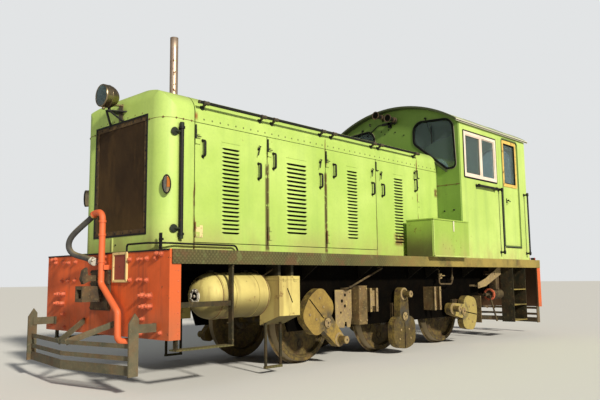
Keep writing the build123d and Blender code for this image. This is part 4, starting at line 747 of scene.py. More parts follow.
GLASS = glass("window_glass", (0.58, 0.76, 0.78), dirt=0.02)
LENS_CLEAR = lens("lens_clear", (0.22, 0.33, 0.34), strength=0.80)
LENS_AMBER = lens("lens_amber", (0.75, 0.23, 0.03), strength=0.35)
LENS_RED = lens("lens_red", (0.50, 0.03, 0.02), strength=0.35)
CHROME = bright_metal("chrome_dull", (0.72, 0.71, 0.68), rough=0.20, pit=0.62)
REFLECTOR = bright_metal("reflector", (0.50, 0.56, 0.55), rough=0.10, pit=0.70)
ALLOY = chipped("window_cream", (0.74, 0.60, 0.50), 0.62, (0.30, 0.24, 0.18), rough=0.45, scale=30.0,
                dust=0.1)
BRASS = bright_metal("brass_dull", (0.50, 0.36, 0.13), rough=0.40, pit=0.60)
YELLOW = chipped("yellow_frame", (0.64, 0.42, 0.10), 0.58, (0.20, 0.10, 0.03), rough=0.55, scale=18.0,
                 dust=0.1)
CREAM_PAINT = chipped("cream_paint", (0.66, 0.60, 0.46), 0.60, RUST, rough=0.55, scale=20.0, dust=0.15)
RUBBER = ribbed_rubber("hose_rubber")
SEAL = chipped("window_seal", (0.007, 0.008, 0.008), 0.78, (0.03, 0.03, 0.03), rough=0.8, dust=0.08,
               shine=0.15)
LEATHER = leather("seat_leather")
FITTING = chipped("rail_fitting", (0.050, 0.040, 0.022), 0.60, (0.17, 0.085, 0.035), rough=0.7, scale=30.0,
                  dust=0.1)
RAIL_GREEN = chipped("rail_green", (0.018, 0.024, 0.014), 0.62, RUST_DARK, rough=0.5, dust=0.1, shine=0.25)
RIVET_GREEN = chipped("rivet_green", (0.14, 0.175, 0.045), 0.60, RUST_DARK, rough=0.6)
PLATE_CREAM = chipped("plate_cream", (0.68, 0.56, 0.27), 0.62, RUST, rough=0.6, scale=30.0, dust=0.1)
FRAME_CREAM = chipped("frame_cream", (0.66, 0.47, 0.20), 0.58, RUST, rough=0.6, scale=26.0, dust=0.05)
OCHRE = chipped("grille_ochre", (0.055, 0.031, 0.011), 0.50, (0.11, 0.066, 0.022), rough=0.8, scale=12.0)
RUST_BROWN = chipped("rust_brown", (0.12, 0.062, 0.022), 0.56, RUST, rough=0.8, scale=26.0)
LAMP_BROWN = bright_metal("lamp_brown", (0.34, 0.27, 0.17), rough=0.26, pit=0.62)
HORN_BROWN = chipped("horn_brown", (0.060, 0.036, 0.020), 0.56, (0.16, 0.10, 0.05), rough=0.55)
LENS_SMOKY = lens("lens_smoky", (0.14, 0.14, 0.13), strength=0.3)
RED_BOLT = chipped("red_bolt", (0.50, 0.105, 0.045), 0.62, RUST_DARK, rough=0.55)
PLATE_RED = chipped("plate_red", (0.24, 0.045, 0.024), 0.62, RUST_DARK, rough=0.5)
FILLER = chipped("seal_filler", (0.34, 0.30, 0.22), 0.62, (0.05, 0.05, 0.05), rough=0.5)
GREEN_DARK = chipped("ledge_green", (0.030, 0.048, 0.018), 0.62, RUST, rough=0.6)
SEAL_GREEN = chipped("surround_green", (0.075, 0.115, 0.035), 0.62, RUST, rough=0.6)
ROOF_EDGE = chipped("roof_edge", (0.62, 0.60, 0.47), 0.64, RUST, rough=0.6)
COUPLING = chipped("coupling_white", (0.52, 0.49, 0.42), 0.50, (0.16, 0.12, 0.08), rough=0.7, scale=30.0)
# Near black: in the louvre slots, horn mouths and plate holes it is painted shade inside openings
VOID = chipped("slot_dark", (0.004, 0.004, 0.003), 0.80, (0.01, 0.01, 0.01), rough=0.95, dust=0.0, shine=0.05)

# Material of CAD nodes. {} stands for the side.
FINISHES = (
    (DECK, "deck_plate", "step_treads"),
    (VALANCE, "valances"),
    (RED, "headstocks"),
    (FRAME, "side_frames", "frame_stretchers"),
    (BRACKET, "frame_brackets"),
    (AXLEBOX, "axleboxes"),
    (SPRING, "leaf_springs"),
    (BRAKE, "brake_gear"),
    (TANK, "air_tanks"),
    (BOX_CREAM, "side_boxes"),
    (STEP_STEEL, "step_hangers"),
    (PILOT, "pilots"),
    (COUPLER, "couplers"),
    (PIPE_RED, "brake_pipes"),
    (GREEN, "nose_cowl", "hood_roof", "hood_frame", "hood_side_panels"),
    (GREEN, "hood_door_{}_1", "hood_door_{}_2", "hood_door_{}_3"),
    (GREEN_CAB, "cab_rear_wall", "cab_side_{}", "cab_door_{}"),
    (GREEN_BOX, "toolboxes", "toolbox_lid_{}"),
    (GREEN_SHADED, "cab_front_wall"),
    (GLASS, "cab_glass", "cab_door_glass_{}"),
    (ROOF, "cab_roof"),
    (GRILLE, "radiator_grille"),
    (ENGINE, "engine_block"),
    (INSIDE, "cab_floor", "control_desk"),
    (BLACK, "seat_frame", "handrails", "rail_stanchions"),
    (HANDLE, "nose_pipes", "horns"),
    (STACK, "exhaust_stack"),
    (LAMP_BROWN, "lamps"),
)
# Colour of each crank's outer face, and how much of it covers the dust. The tones are partly painted light:
# the middle crank's is darkened as painted shade and the rear crank's paled as painted light.
CRANK_FACES = {
    "front": ((0.36, 0.235, 0.050), 0.50),
    "middle": ((0.034, 0.022, 0.004), 0.62),
    "rear": ((0.50, 0.40, 0.12), 0.50),
}
for side in SIDES:
    for material, *names in FINISHES:
        for name in names:
            finish_node(name.format(side), material)
for name, (axle_x, _) in AXLES.items():
    finish_node(f"wheels_{name}", wheel_steel(f"wheel_steel_{name}", axle_x))
    finish_node(f"crank_axle_{name}", wheel_steel(f"crank_steel_{name}", axle_x, *CRANK_FACES[name]))


# Camera, floor and light

# The photograph's camera: turn, tilt and roll in degrees, lens in millimetres and place in metres
CAMERA_ANGLES = (-136.83, 6.94, -0.61)
CAMERA_LENS = 38.73
CAMERA_PLACE = (7.631, 6.173, 1.039)


def place_camera():
    yaw, pitch, roll = (math.radians(angle) for angle in CAMERA_ANGLES)
    level = Vector((math.cos(yaw), math.sin(yaw), 0))
    forward = level * math.cos(pitch) + Z * math.sin(pitch)
    right = Vector((math.sin(yaw), -math.cos(yaw), 0))
    turned_right = right * math.cos(roll) + right.cross(forward) * math.sin(roll)
    data = bpy.data.cameras.new("camera")
    data.sensor_fit = "HORIZONTAL"
    data.lens = CAMERA_LENS
    data.clip_end = 400.0
    camera = linked("camera", data)
    turn = Matrix((turned_right, turned_right.cross(forward), -forward)).transposed()
    camera.matrix_world = Matrix.Translation(CAMERA_PLACE) @ turn.to_4x4()
    bpy.context.scene.camera = camera


def lamp(name, kind, way, power, color):
    """Light that shines from the given direction."""
    data = bpy.data.lights.new(name, kind)
    data.energy = power
    data.color = color
    light = linked(name, data)
    light.rotation_euler = Vector(way).to_track_quat("Z", "Y").to_euler()
    return light


def place_lights():
    """Broad directional key light from the left and a faint area light before the nose."""
    key = lamp("key", "SUN", (13.0, 52.2, 27.5), 4.3, (1.0, 0.94, 0.80))
    key.data.angle = math.radians(5.0)
    fill_place = Vector((15.0, 5.0, 7.0))
    fill = lamp("front_fill", "AREA", fill_place - Vector((2.0, 0.0, 1.5)), 120.0, (0.93, 0.96, 1.0))
    fill.data.size = 6.0
    fill.location = fill_place


def plain_ground():
    material = bpy.data.materials.new("floor")
    material.use_nodes = True
    shader = material.node_tree.nodes["Principled BSDF"]
    shader.inputs["Base Color"].default_value = (0.78, 0.775, 0.76, 1)
    shader.inputs["Roughness"].default_value = 0.9
    mesh = bpy.data.meshes.new("floor")
    mesh.from_pydata([(x, y, 0) for x, y in rect(-120, 120, -120, 120)], [], [(0, 1, 2, 3)])
    mesh.materials.append(material)
    linked("floor", mesh)


def world_light(level, backdrop):
    """Even grey light, with a brighter backdrop for the camera."""
    world = bpy.data.worlds.new("studio")
    bpy.context.scene.world = world
    world.use_nodes = True
    tree = world.node_tree
    background = tree.nodes["Background"]
    path = tree.nodes.new("ShaderNodeLightPath")
    strength = tree.nodes.new("ShaderNodeMapRange")
    tree.links.new(path.outputs["Is Camera Ray"], strength.inputs["Value"])
    strength.inputs["To Min"].default_value = level
    strength.inputs["To Max"].default_value = backdrop
    tree.links.new(strength.outputs["Result"], background.inputs["Strength"])
    background.inputs["Color"].default_value = (0.95, 0.97, 0.98, 1)


place_camera()
plain_ground()
world_light(0.22, 0.80)
place_lights()
bpy.context.scene.view_settings.view_transform = "Standard"


# Hood sides

# Body of each bay's side
HOOD_BODIES = {"1": "hood_door_{}_1", "2": "hood_door_{}_2", "3": "hood_door_{}_3", "4": ROOT}
# Columns: bay, first and last station, lowest and highest edge, number of louvres
LOUVRES = (
    ("1", 0.965, 1.205, 1.528, 2.498, 21),
    ("2", 1.970, 2.310, 1.573, 2.458, 17),
    ("3", 3.120, 3.330, 1.558, 2.493, 21),
    ("4", 4.200, 4.415, 1.538, 2.503, 22),
)
# Columns: bay, station, foot and head height of each bow handle
BOW_HANDLES = (
    ("1", 0.690, 2.338, 2.508),
    ("1", 1.500, 2.183, 2.358),
    ("2", 1.740, 2.328, 2.508),
    ("2", 2.570, 2.184, 2.358),
    ("3", 2.840, 2.348, 2.514),
    ("3", 3.668, 2.190, 2.355),
    ("4", 3.900, 2.190, 2.355),
    ("4", 4.745, 2.338, 2.515),
)
# Columns: bay, station and height of each latch
LATCHES = (
    ("1", 1.500, 2.500),
    ("2", 2.570, 2.480),
    ("3", 3.665, 2.490),
    ("4", 3.868, 2.470),
    ("4", 4.735, 2.585),
)


def louvre(lips, slots, x0, x1, low, pitch):
    """A near-black slot, painted shade for the opening, under a pressed lip that slopes back to the panel."""
    slot = 0.50 * pitch
    taper = 0.036
    lip_low = low + slot * 0.85
    lip_high = low + pitch * 0.96
    sections = []
    for x, share in ((x0, 0.04), (x0 + taper, 1.0), (x1 - taper, 1.0), (x1, 0.04)):
        out = HOOD_Y + 0.014 * share
        sections.append([(x, HOOD_Y - 0.001, lip_low), (x, out, lip_low), (x, out, lip_low + 0.004),
                         (x, HOOD_Y - 0.001, lip_high)])
    lips.skin(sections)
    mid = low + slot / 2
    outline = [(x0 + 0.005, mid), (x0 + taper, low), (x1 - taper, low), (x1 - 0.005, mid),
               (x1 - taper, low + slot), (x0 + taper, low + slot)]
    slots.side_plate(outline, HOOD_Y, 0.0015)


def bow_handle(made, x, low, high):
    reach = HOOD_Y + 0.046
    foot = HOOD_Y - 0.002
    made.tube([(x, foot, low), (x, reach, low + 0.004), (x, reach, high - 0.004), (x, foot, high)], 0.013, 10)
    for z in (low, high):
        made.rod((x, HOOD_Y, z), (x, HOOD_Y + 0.006, z), 0.018, 12)


def turn_latch(made, x, z):
    """Boss with a slanting lever."""
    y = HOOD_Y
    made.rod((x, y, z + 0.030), (x, y + 0.024, z + 0.030), 0.014, 12)
    made.tube([(x - 0.014, y + 0.020, z + 0.062), (x, y + 0.026, z + 0.030),
               (x + 0.030, y + 0.036, z - 0.050)], 0.0065, 8)
    made.rod((x - 0.026, y + 0.022, z + 0.058), (x + 0.006, y + 0.022, z + 0.066), 0.0055, 8)


def hood_sides():
    """Louvres, handles and latches of each bay, on its door or on the fixed panel."""
    for bay, first, last, low, high, count in LOUVRES:
        lips, slots, hardware = Mesh(), Mesh(), Mesh()
        x0, x1 = at(last) - 0.012, at(first) + 0.012
        pitch = (high - low) / count
        for index in range(count):
            louvre(lips, slots, x0, x1, low + index * pitch, pitch)
        lips.box((x0, HOOD_Y - 0.001, high + 0.034), (x1, HOOD_Y + 0.004, high + 0.040))
        for name, station, foot, head in BOW_HANDLES:
            if name == bay:
                bow_handle(hardware, at(station), foot, head)
        for name, station, height in LATCHES:
            if name == bay:
                turn_latch(hardware, at(station), height)
        build_each_side(HOOD_BODIES[bay], (lips, "louvres_{}_" + bay, GREEN, "body_paint"),
                        (slots, "louvre_slots_{}_" + bay, VOID, "grille_paint"),
                        (hardware, "hood_handles_{}_" + bay, HANDLE, "black_paint"))


def hinge_plates():
    """Cream plate with four bolts at the foot of the first hinge, and the drop pins at the roof seam."""
    y = HOOD_Y + 0.012
    plate = Mesh()
    plate.side_plate(rect(3.404, 3.500, 1.476, 1.604), HOOD_Y, 0.006)
    for x, z in ((3.420, 1.496), (3.484, 1.500), (3.420, 1.582), (3.484, 1.580)):
        plate.bolt((x, HOOD_Y + 0.005, z), Y, 0.008, 0.006)
    build_each_side(HOOD_BODIES["1"], (plate, "hinge_plate_{}", PLATE_CREAM, "body_paint", 0.0015))
    for name, station in zip("123", SEAMS):
        foot = Mesh()
        x = at(station) - 0.008
        foot.tube([(x, HOOD_Y + 0.016, 2.552), (x - 0.012, HOOD_Y + 0.024, 2.541),
                   (x - 0.058, HOOD_Y + 0.024, 2.541)], 0.0055, 8)
        foot.rod((x, y, 2.566), (x, y, 2.616), 0.0104, 14)
        build_each_side(HOOD_BODIES[name], (foot, "hinge_foot_{}_" + name, HANDLE, "black_paint"))
    bars = Mesh()
    for station in SEAMS[:3]:
        x = at(station) - 0.008
        bars.rod((x, y, 2.619), (x, y, 2.668), 0.0085, 12)
        bars.rod((x, y, 2.516), (x, y, 2.563), 0.0104, 14)
    for station in SEAMS[3:]:
        x = at(station) - 0.002
        bars.rod((x, y - 0.002, 2.540), (x, y - 0.002, 2.664), 0.0095, 12)
        bars.rod((x, y, 2.543), (x - 0.050, y + 0.002, 2.543), 0.0065, 8)
    both_sides(bars).build("hinge_pins", HANDLE, "black_paint")


def hood_rivets():
    """Low painted rivets along the roof seam and up the last seam, and the seam's bead."""
    made = Mesh()
    station = 0.706
    while station < 5.34:
        made.lathe([(0.0115, 0), (0.010, 0.003), (0.005, 0.0045), (0, 0.0045)],
                   (at(station), HOOD_Y - 0.0005, 2.742), Y, 10)
        station += 0.1127
    for height in (1.60, 1.85, 2.10, 2.18, 2.40):
        made.lathe([(0.010, 0), (0.008, 0.004), (0, 0.005)], (at(4.845), HOOD_Y - 0.0005, height), Y, 8)
    both_sides(made).build("hood_rivets", RIVET_GREEN, "body_paint")
    beads = Mesh()
    for first, last in ((0.60, 1.63), (1.655, 2.67), (2.695, 3.75), (3.775, 4.80), (4.82, 5.375)):
        beads.box((at(last), HOOD_Y - 0.002, 2.700), (at(first), HOOD_Y + 0.0025, 2.7045))
    both_sides(beads).build("roof_seam_bead", GREEN_TRIM, "body_paint")


RAIL_Y = 0.862
RAIL_Z = 2.906
STANCHIONS = (0.685, 1.529, 1.724, 2.586, 2.803, 3.669, 3.834, 4.728)


def rail_fittings():
    """T fittings round the hood rail, sleeves on its stanchions and round feet on the shoulder."""
    tees, feet = Mesh(), Mesh()
    foot = Vector((0, 0.784, 2.8645))
    rise = (Vector((0, RAIL_Y, RAIL_Z)) - foot).normalized()
    for station in STANCHIONS:
        x = at(station)
        tees.lathe([(0.019, -0.036), (0.0235, -0.032), (0.0235, -0.022), (0.021, -0.018), (0.021, 0.018),
                    (0.0235, 0.022), (0.0235, 0.032), (0.019, 0.036)], (x, RAIL_Y, RAIL_Z), X, 16)
        start = Vector((x, RAIL_Y, RAIL_Z)) - rise * 0.050
        tees.lathe([(0.0155, 0), (0.0165, 0.004), (0.0165, 0.040)], start, rise, 14)
        place = foot + Vector((x, 0, 0))
        feet.lathe([(0.024, -0.004), (0.029, 0.003), (0.029, 0.011), (0.018, 0.016), (0.015, 0.026),
                    (0, 0.026)], place, rise, 18)
        for side in (-1, 1):
            feet.bolt(place + Vector((side * 0.021, 0, 0)) + rise * 0.010, rise, 0.005, 0.005)
    for station in (0.600, 4.785):
        way = -1 if station > 1 else 1
        tees.lathe([(0.0195, 0), (0.0195, 0.012), (0.012, 0.017), (0, 0.018)], (at(station), RAIL_Y, RAIL_Z),
                   (way, 0, 0), 16)
    both_sides(tees).build("rail_tees", FITTING, "pipe_steel")
    both_sides(feet).build("rail_feet", RAIL_GREEN, "black_paint")


# Nose


def grille_frame():
    """Ochre inner border, dark outer edge and its bolts round the radiator mesh."""
    opening = rect(-0.510, 0.510, 1.518, 2.755)
    border = Mesh()
    border.front_frame(grown(opening, -0.001), grown(opening, -0.052), 3.9025, 0.005)
    border.build("grille_border", OCHRE, "grille_paint", bevel=0.001)
    edge = Mesh()
    edge.front_frame(grown(opening, 0.014), grown(opening, -0.006), 3.9085, 0.0055)
    for index in range(8):
        height = 1.580 + index * 0.160
        for side in (-1, 1):
            edge.bolt((3.906, side * 0.486, height), X, 0.009, 0.007)
    for index in range(6):
        for height in (1.542, 2.731):
            edge.bolt((3.906, -0.400 + index * 0.160, height), X, 0.009, 0.007)
    edge.build("grille_edge", BLACK, "black_paint", bevel=0.001)


def nose_seam_points():
    """Line round the nose at the roof seam, from the grille's edge to the first side seam."""
    centre = Vector((3.720, 0.610))
    points = [(3.9105, 0.527)]
    for dx, dy in around(32, 0.1905)[:9]:
        points.append((centre.x + dx, centre.y + dy))
    points.append((3.523, 0.8005))
    return [(x, y, 2.702) for x, y in points]


def nose_details():
    seam = Mesh()
    seam.tube(nose_seam_points(), 0.0028, 6, smooth=False)
    # Columns: place and facing of each seam bolt
    for place, axis in (((3.9095, 0.550, 2.702), X), ((3.868, 0.734, 2.702), (0.76, 0.65, 0)),
                        ((3.752, 0.798, 2.702), (0.2, 1, 0)), ((3.666, 0.800, 2.702), Y),
                        ((3.560, 0.800, 2.702), Y)):
        seam.bolt(place, axis, 0.010, 0.008)
    for y in (0.14, 0.28, 0.42):
        seam.bolt((3.9095, y, 2.790), X, 0.006, 0.005)
    both_sides(seam).build("nose_seam", RUST_BROWN, "body_paint")
    ridges = Mesh()
    for y in (-0.300, -0.120):
        ridges.prism([(y - 0.018, 3.909), (y - 0.006, 3.921), (y + 0.006, 3.921), (y + 0.018, 3.909)],
                     (0, 0, 1.332), Y, X, -0.164)
    ridges.box((3.909, -0.790, 1.3285), (3.916, 0.600, 1.348))
    ridges.build("nose_ridges", GREEN, "body_paint")
    lugs = Mesh()
    lugs.bolt((3.9095, -0.055, 1.418), X, 0.009, 0.008)
    lugs.bolt((3.9095, -0.385, 1.440), X, 0.007, 0.006)
    lugs.box((3.918, 0.780, 1.3285), (3.930, 0.822, 1.505))
    lugs.box((3.914, 0.786, 1.430), (3.936, 0.840, 1.452))
    lugs.build("nose_lugs", HANDLE, "black_paint")


def nose_pipe_fittings():
    """Round wall plates of the upright pipes and the thin pipe round the nose's foot."""
    plates = Mesh()
    for height in (2.556, 1.556):
        plates.lathe([(0.040, 0), (0.043, 0.004), (0.043, 0.012), (0.022, 0.016), (0, 0.016)],
                     (3.772, 0.798, height), (0.06, 1, 0), 20)
        plates.tube([(3.772, 0.806, height), (3.752, 0.830, height), (3.704, 0.830, height)], 0.010, 10)
        for dx, dz in around(4, 0.031, 45):
            plates.bolt((3.772 + dx, 0.809, height + dz), Y, 0.005, 0.005)
    plates.lathe([(0.0245, 0), (0.0245, 0.040), (0.021, 0.046), (0, 0.046)], (3.700, 0.828, 2.610), Z, 16)
    plates.lathe([(0.0245, 0), (0.0245, 0.035)], (3.700, 0.828, 1.452), Z, 16)
    both_sides(plates).build("nose_pipe_plates", RAIL_GREEN, "pipe_steel")
    thin = Mesh()
    thin.tube([(3.985, 0.290, 1.332), (3.985, 0.290, 1.408), (3.985, 0.660, 1.408), (3.880, 0.838, 1.404),
               (3.700, 0.850, 1.402), (2.985, 0.850, 1.402), (2.950, 0.850, 1.332)], 0.0105, 10)
    thin.build("nose_foot_pipe", HANDLE, "pipe_steel")


HEADLIGHT = Vector((4.075, 0.0, 3.020))


def round_lamp(centre, axis, radius, front):
    """Rim, reflector and lens in front of a lamp's bowl."""
    centre, axis = Vector(centre), Vector(axis)
    rim, dish, lens_disc = Mesh(), Mesh(), Mesh()
    rim.ring([(radius * 0.90, front - 0.004), (radius * 0.985, front - 0.004), (radius * 1.01, front + 0.004),
              (radius * 1.01, front + 0.016), (radius * 0.97, front + 0.026), (radius * 0.90, front + 0.024)],
             centre, axis, 48)
    dish.lathe([(radius * 0.90, front + 0.019), (radius * 0.62, front + 0.010),
                (radius * 0.30, front + 0.004), (0.016, front + 0.002), (0.016, front + 0.012),
                (0, front + 0.014)], centre, axis, 40)
    lens_disc.lathe([(radius * 0.92, front + 0.016), (radius * 0.92, front + 0.021),
                     (radius * 0.66, front + 0.030), (radius * 0.33, front + 0.035), (0, front + 0.037)],
                    centre, axis, 40)
    return rim, dish, lens_disc


def headlights():
    rim, dish, glass_disc = round_lamp(HEADLIGHT, X, 0.124, 0.060)
    rear = round_lamp((-3.770, 0, 3.330), -X, 0.110, 0.060)
    # Clip and its screw under the rim
    rim.box((HEADLIGHT.x + 0.040, -0.012, HEADLIGHT.z - 0.150),
            (HEADLIGHT.x + 0.066, 0.012, HEADLIGHT.z - 0.122))
    rim.bolt((HEADLIGHT.x + 0.053, 0.012, HEADLIGHT.z - 0.140), Y, 0.008, 0.008)
    rim.ring([(0.1215, 0.008), (0.1265, 0.006), (0.1275, 0.012), (0.1235, 0.014)], HEADLIGHT, X, 40)
    rim.join(rear[0]).build("lamp_rims", LAMP_BROWN, "lamp_metal", bevel=0.001)
    dish.join(rear[1]).build("lamp_reflectors", REFLECTOR, "lamp_metal")
    glass_disc.join(rear[2]).build("lamp_lenses", LENS_CLEAR, "window_glass")
    bracket = Mesh()
    # Triangular plate from the nose top with two legs down to the grille's head
    top_plate = [(3.902, -0.085), (3.902, 0.120), (4.095, 0.020), (4.095, -0.020)]
    bracket.prism(top_plate, (0, 0, 2.862), X, Y, 0.009)
    for y, sway in ((-0.060, -0.150), (0.060, -0.010)):
        bracket.skin([[(4.068, y * 0.4 - 0.012, 2.862), (4.084, y * 0.4 - 0.012, 2.862),
                       (4.084, y * 0.4 + 0.012, 2.862), (4.068, y * 0.4 + 0.012, 2.862)],
                      [(3.912, y + sway - 0.016, 2.772), (3.922, y + sway - 0.016, 2.762),
                       (3.922, y + sway + 0.016, 2.762), (3.912, y + sway + 0.016, 2.772)]])
    bracket.rod((4.060, 0, 2.870), (4.060, 0, 2.905), 0.016, 12)
    bracket.bolt((4.060, 0, 2.852), Z, 0.016, 0.010)
    bracket.build("headlight_bracket", BLACK, "black_paint", bevel=0.001)


MARKER_ANGLE = math.radians(53)
MARKER_CORNER = Vector((3.720, 0.610, 1.998))
MARKER_RADIUS = 0.190


def oval(half_width, half_height, cut=0.0):
    """Outline of an oval, its edge moved in by cut."""
    return [((half_width - cut) * a, (half_height - cut) * b) for a, b in around(40, 1.0)]


def marker_lamps():
    """Oval lamps on the nose corners, one part of the lens smoky and one amber, and the round tail lamps."""
    way = Vector((math.cos(MARKER_ANGLE), math.sin(MARKER_ANGLE), 0))
    across = Vector((way.y, -way.x, 0))
    face = MARKER_CORNER + way * (MARKER_RADIUS + 0.052)
    rim, shade, smoky, amber = Mesh(), Mesh(), Mesh(), Mesh()
    rim.band(oval(0.046, 0.098), oval(0.046, 0.098, 0.010), face - way * 0.008, across, Z, -0.018)
    for part, low, high in ((amber, -0.033, -0.002), (smoky, 0.001, 0.033)):
        bottom = -0.080 if part is smoky else -0.030
        outline = []
        for index in range(13):
            u = low + (high - low) * index / 12
            outline.append((u, 0.082 * math.sqrt(max(0.02, 1 - (u / 0.0355) ** 2))))
        lower = [(u, max(bottom, -v)) for u, v in reversed(outline)]
        ring = outline + lower
        centre = ((low + high) / 2, 0.5 * (0.08 + bottom))
        inner = [(centre[0] + (u - centre[0]) * 0.70, centre[1] + (v - centre[1]) * 0.82) for u, v in ring]
        part.skin([[face - way * 0.001 + across * u + Z * v for u, v in ring],
                   [face + way * 0.006 + across * u + Z * v for u, v in ring],
                   [face + way * 0.011 + across * u + Z * v for u, v in inner]])
    for height in (-0.088, 0.088):
        shade.bolt(face + Z * height, way, 0.006, 0.006)
    shade.prism([(0.0, -0.060), (0.033, -0.055), (0.020, -0.034), (0.0, -0.034)], face, across, Z, -0.006)
    both_sides(rim).build("marker_rims", SEAL, "lamp_metal", bevel=0.001)
    both_sides(shade).build("marker_fixings", SEAL, "lamp_metal")
    both_sides(smoky).build("marker_lens_smoky", LENS_SMOKY, "window_glass")
    both_sides(amber).build("marker_lens_amber", LENS_AMBER, "window_glass")
    tail_rim, tail_lens = Mesh(), Mesh()
    centre = (-3.730, 1.080, 2.250)
    tail_rim.ring([(0.047, -0.004), (0.058, -0.006), (0.060, 0.006), (0.056, 0.014), (0.048, 0.014)], centre,
                  -X, 28)
    tail_lens.lathe([(0.048, 0.001), (0.048, 0.010), (0.034, 0.018), (0, 0.021)], centre, -X, 28)
    both_sides(tail_rim).build("tail_lamp_rims", LAMP_BROWN, "lamp_metal")
    both_sides(tail_lens).build("tail_lamp_lenses", LENS_RED, "window_glass")


def filler_and_stack():
    knob, collar = Mesh(), Mesh()
    knob.lathe([(0.034, 0.000), (0.034, 0.010), (0.023, 0.018), (0.0215, 0.070), (0.0280, 0.074),
                (0.0295, 0.084), (0.0295, 0.112), (0.0265, 0.124), (0.014, 0.131), (0, 0.132)],
               (3.410, 0, 3.086), Z, 20)
    x = at(0.879)
    collar.lathe([(0.082, 0), (0.082, 0.010), (0.060, 0.018), (0.052, 0.030), (0.0485, 0.034)], (x, 0, 3.090),
                 Z, 28)
    for dx, dy in around(6, 0.068):
        collar.bolt((x + dx, dy, 3.100), Z, 0.008, 0.008)
    knob.build("filler_knob", BRASS, "pipe_steel")
    collar.build("stack_collar", STACK, "stack_steel")


hood_sides()
hinge_plates()
hood_rivets()
rail_fittings()
grille_frame()
nose_details()
nose_pipe_fittings()
headlights()
marker_lamps()
filler_and_stack()


# Headstocks

# Columns: Y, height, radius and reach of each bolt head on the left half of a headstock
HEADSTOCK_BOLTS = (
    (0.544, 1.246, 0.022, 0.022),
    (0.699, 1.240, 0.022, 0.022),
    (0.745, 1.244, 0.015, 0.018),
    (0.839, 1.248, 0.022, 0.022),
    (0.552, 1.043, 0.022, 0.022),
    (0.697, 1.042, 0.022, 0.022),
    (0.742, 1.046, 0.015, 0.018),
    (0.842, 1.041, 0.022, 0.022),
    (1.010, 1.290, 0.024, 0.026),
    (1.082, 1.284, 0.024, 0.026),
    (0.995, 1.246, 0.022, 0.024),
    (0.790, 0.895, 0.026, 0.050),
    (0.905, 0.893, 0.026, 0.050),
    (0.810, 0.790, 0.026, 0.050),
    (0.912, 0.792, 0.026, 0.050),
    (0.787, 0.671, 0.022, 0.030),
    (0.758, 0.529, 0.020, 0.022),
    (1.078, 0.554, 0.020, 0.022),
    (0.072, 1.284, 0.017, 0.018),
    (0.072, 1.225, 0.017, 0.018),
)


def headstock_bolts():
    made = Mesh()
    for y, height, radius, reach in HEADSTOCK_BOLTS:
        for side in (-1, 1):
            place = (HALF_LENGTH - 0.001, side * y, height)
            made.lathe([(radius * 1.35, 0), (radius * 1.35, 0.004)], place, X, 18)
            made.bolt((HALF_LENGTH + 0.002, side * y, height), X, radius, reach * 0.85)
            made.lathe([(radius * 0.58, 0), (radius * 0.58, reach * 0.55), (radius * 0.40, reach * 0.65),
                        (0, reach * 0.65)], (HALF_LENGTH + 0.002 + reach * 0.75, side * y, height), X, 12)
    both_ends(made).build("headstock_bolts", RED_BOLT, "buffer_paint", bevel=0.0015)


def number_plate():
    """Blank plate in a raised cream frame."""
    frame_bars, plate = Mesh(), Mesh()
    outer = rect(0.235, 0.505, 1.020, 1.322)
    frame_bars.front_frame(outer, grown(outer, -0.026), HALF_LENGTH - 0.001, 0.019)
    plate.front_plate(grown(outer, -0.020), HALF_LENGTH - 0.001, 0.008)
    both_ends(frame_bars).build("number_plate_frame", FRAME_CREAM, "buffer_paint", bevel=0.003)
    both_ends(plate).build("number_plate", PLATE_RED, "buffer_paint")


def headstock_edges():
    """Dark angle under the deck's front edge and the bright folded returns with their rivets."""
    edge = Mesh()
    edge.box((HALF_LENGTH - 0.001, -1.205, 1.313), (HALF_LENGTH + 0.006, 1.205, 1.3275))
    both_ends(edge).build("headstock_top_edge", BLACK, "black_paint")
    rivets = Mesh()
    for index in range(8):
        rivets.rivet((4.000, 1.2045, 0.540 + index * 0.098), Y, 0.009, 0.006)
    both_sides(both_ends(rivets)).build("headstock_rivets", RED_BOLT, "buffer_paint")


headstock_bolts()
number_plate()
headstock_edges()


# Cab

FRONT_WINDOW = ((0.400, 3.215), (1.000, 2.735), (1.152, 2.740), (1.120, 3.530), (0.400, 3.570))
FRONT_WINDOW_RADII = (0.130, 0.060, 0.060, 0.170, 0.150)
REAR_WINDOW = ((0.330, 2.640), (0.960, 2.640), (0.960, 3.420), (0.330, 3.420))
REAR_WINDOW_RADII = (0.060, 0.060, 0.240, 0.240)


def wall_seals():
    """Rubber seals and filler strips round the windows of the front and rear walls."""
    seal, filler = Mesh(), Mesh()
    for x, way, corners, radii in ((CAB_FRONT_X, 1, FRONT_WINDOW, FRONT_WINDOW_RADII),
                                   (CAB_REAR_X, -1, REAR_WINDOW, REAR_WINDOW_RADII)):
        outer = window_outline(corners, radii, 0.017)
        inner = window_outline(corners, radii, -0.016)
        seal.front_frame(outer, inner, x - way * 0.002, way * 0.013)
        near = window_outline(corners, radii, 0.020)
        thin = window_outline(corners, radii, 0.0165)
        filler.front_frame(near, thin, x - way * 0.001, way * 0.008)
        seal.front_frame(window_outline(corners, radii, -0.0005), window_outline(corners, radii, -0.014),
                         x - way * 0.018, way * 0.020)
    both_sides(seal).build("window_seals", SEAL, "black_paint", bevel=0.002)
    both_sides(filler).build("seal_fillers", FILLER, "lamp_metal")


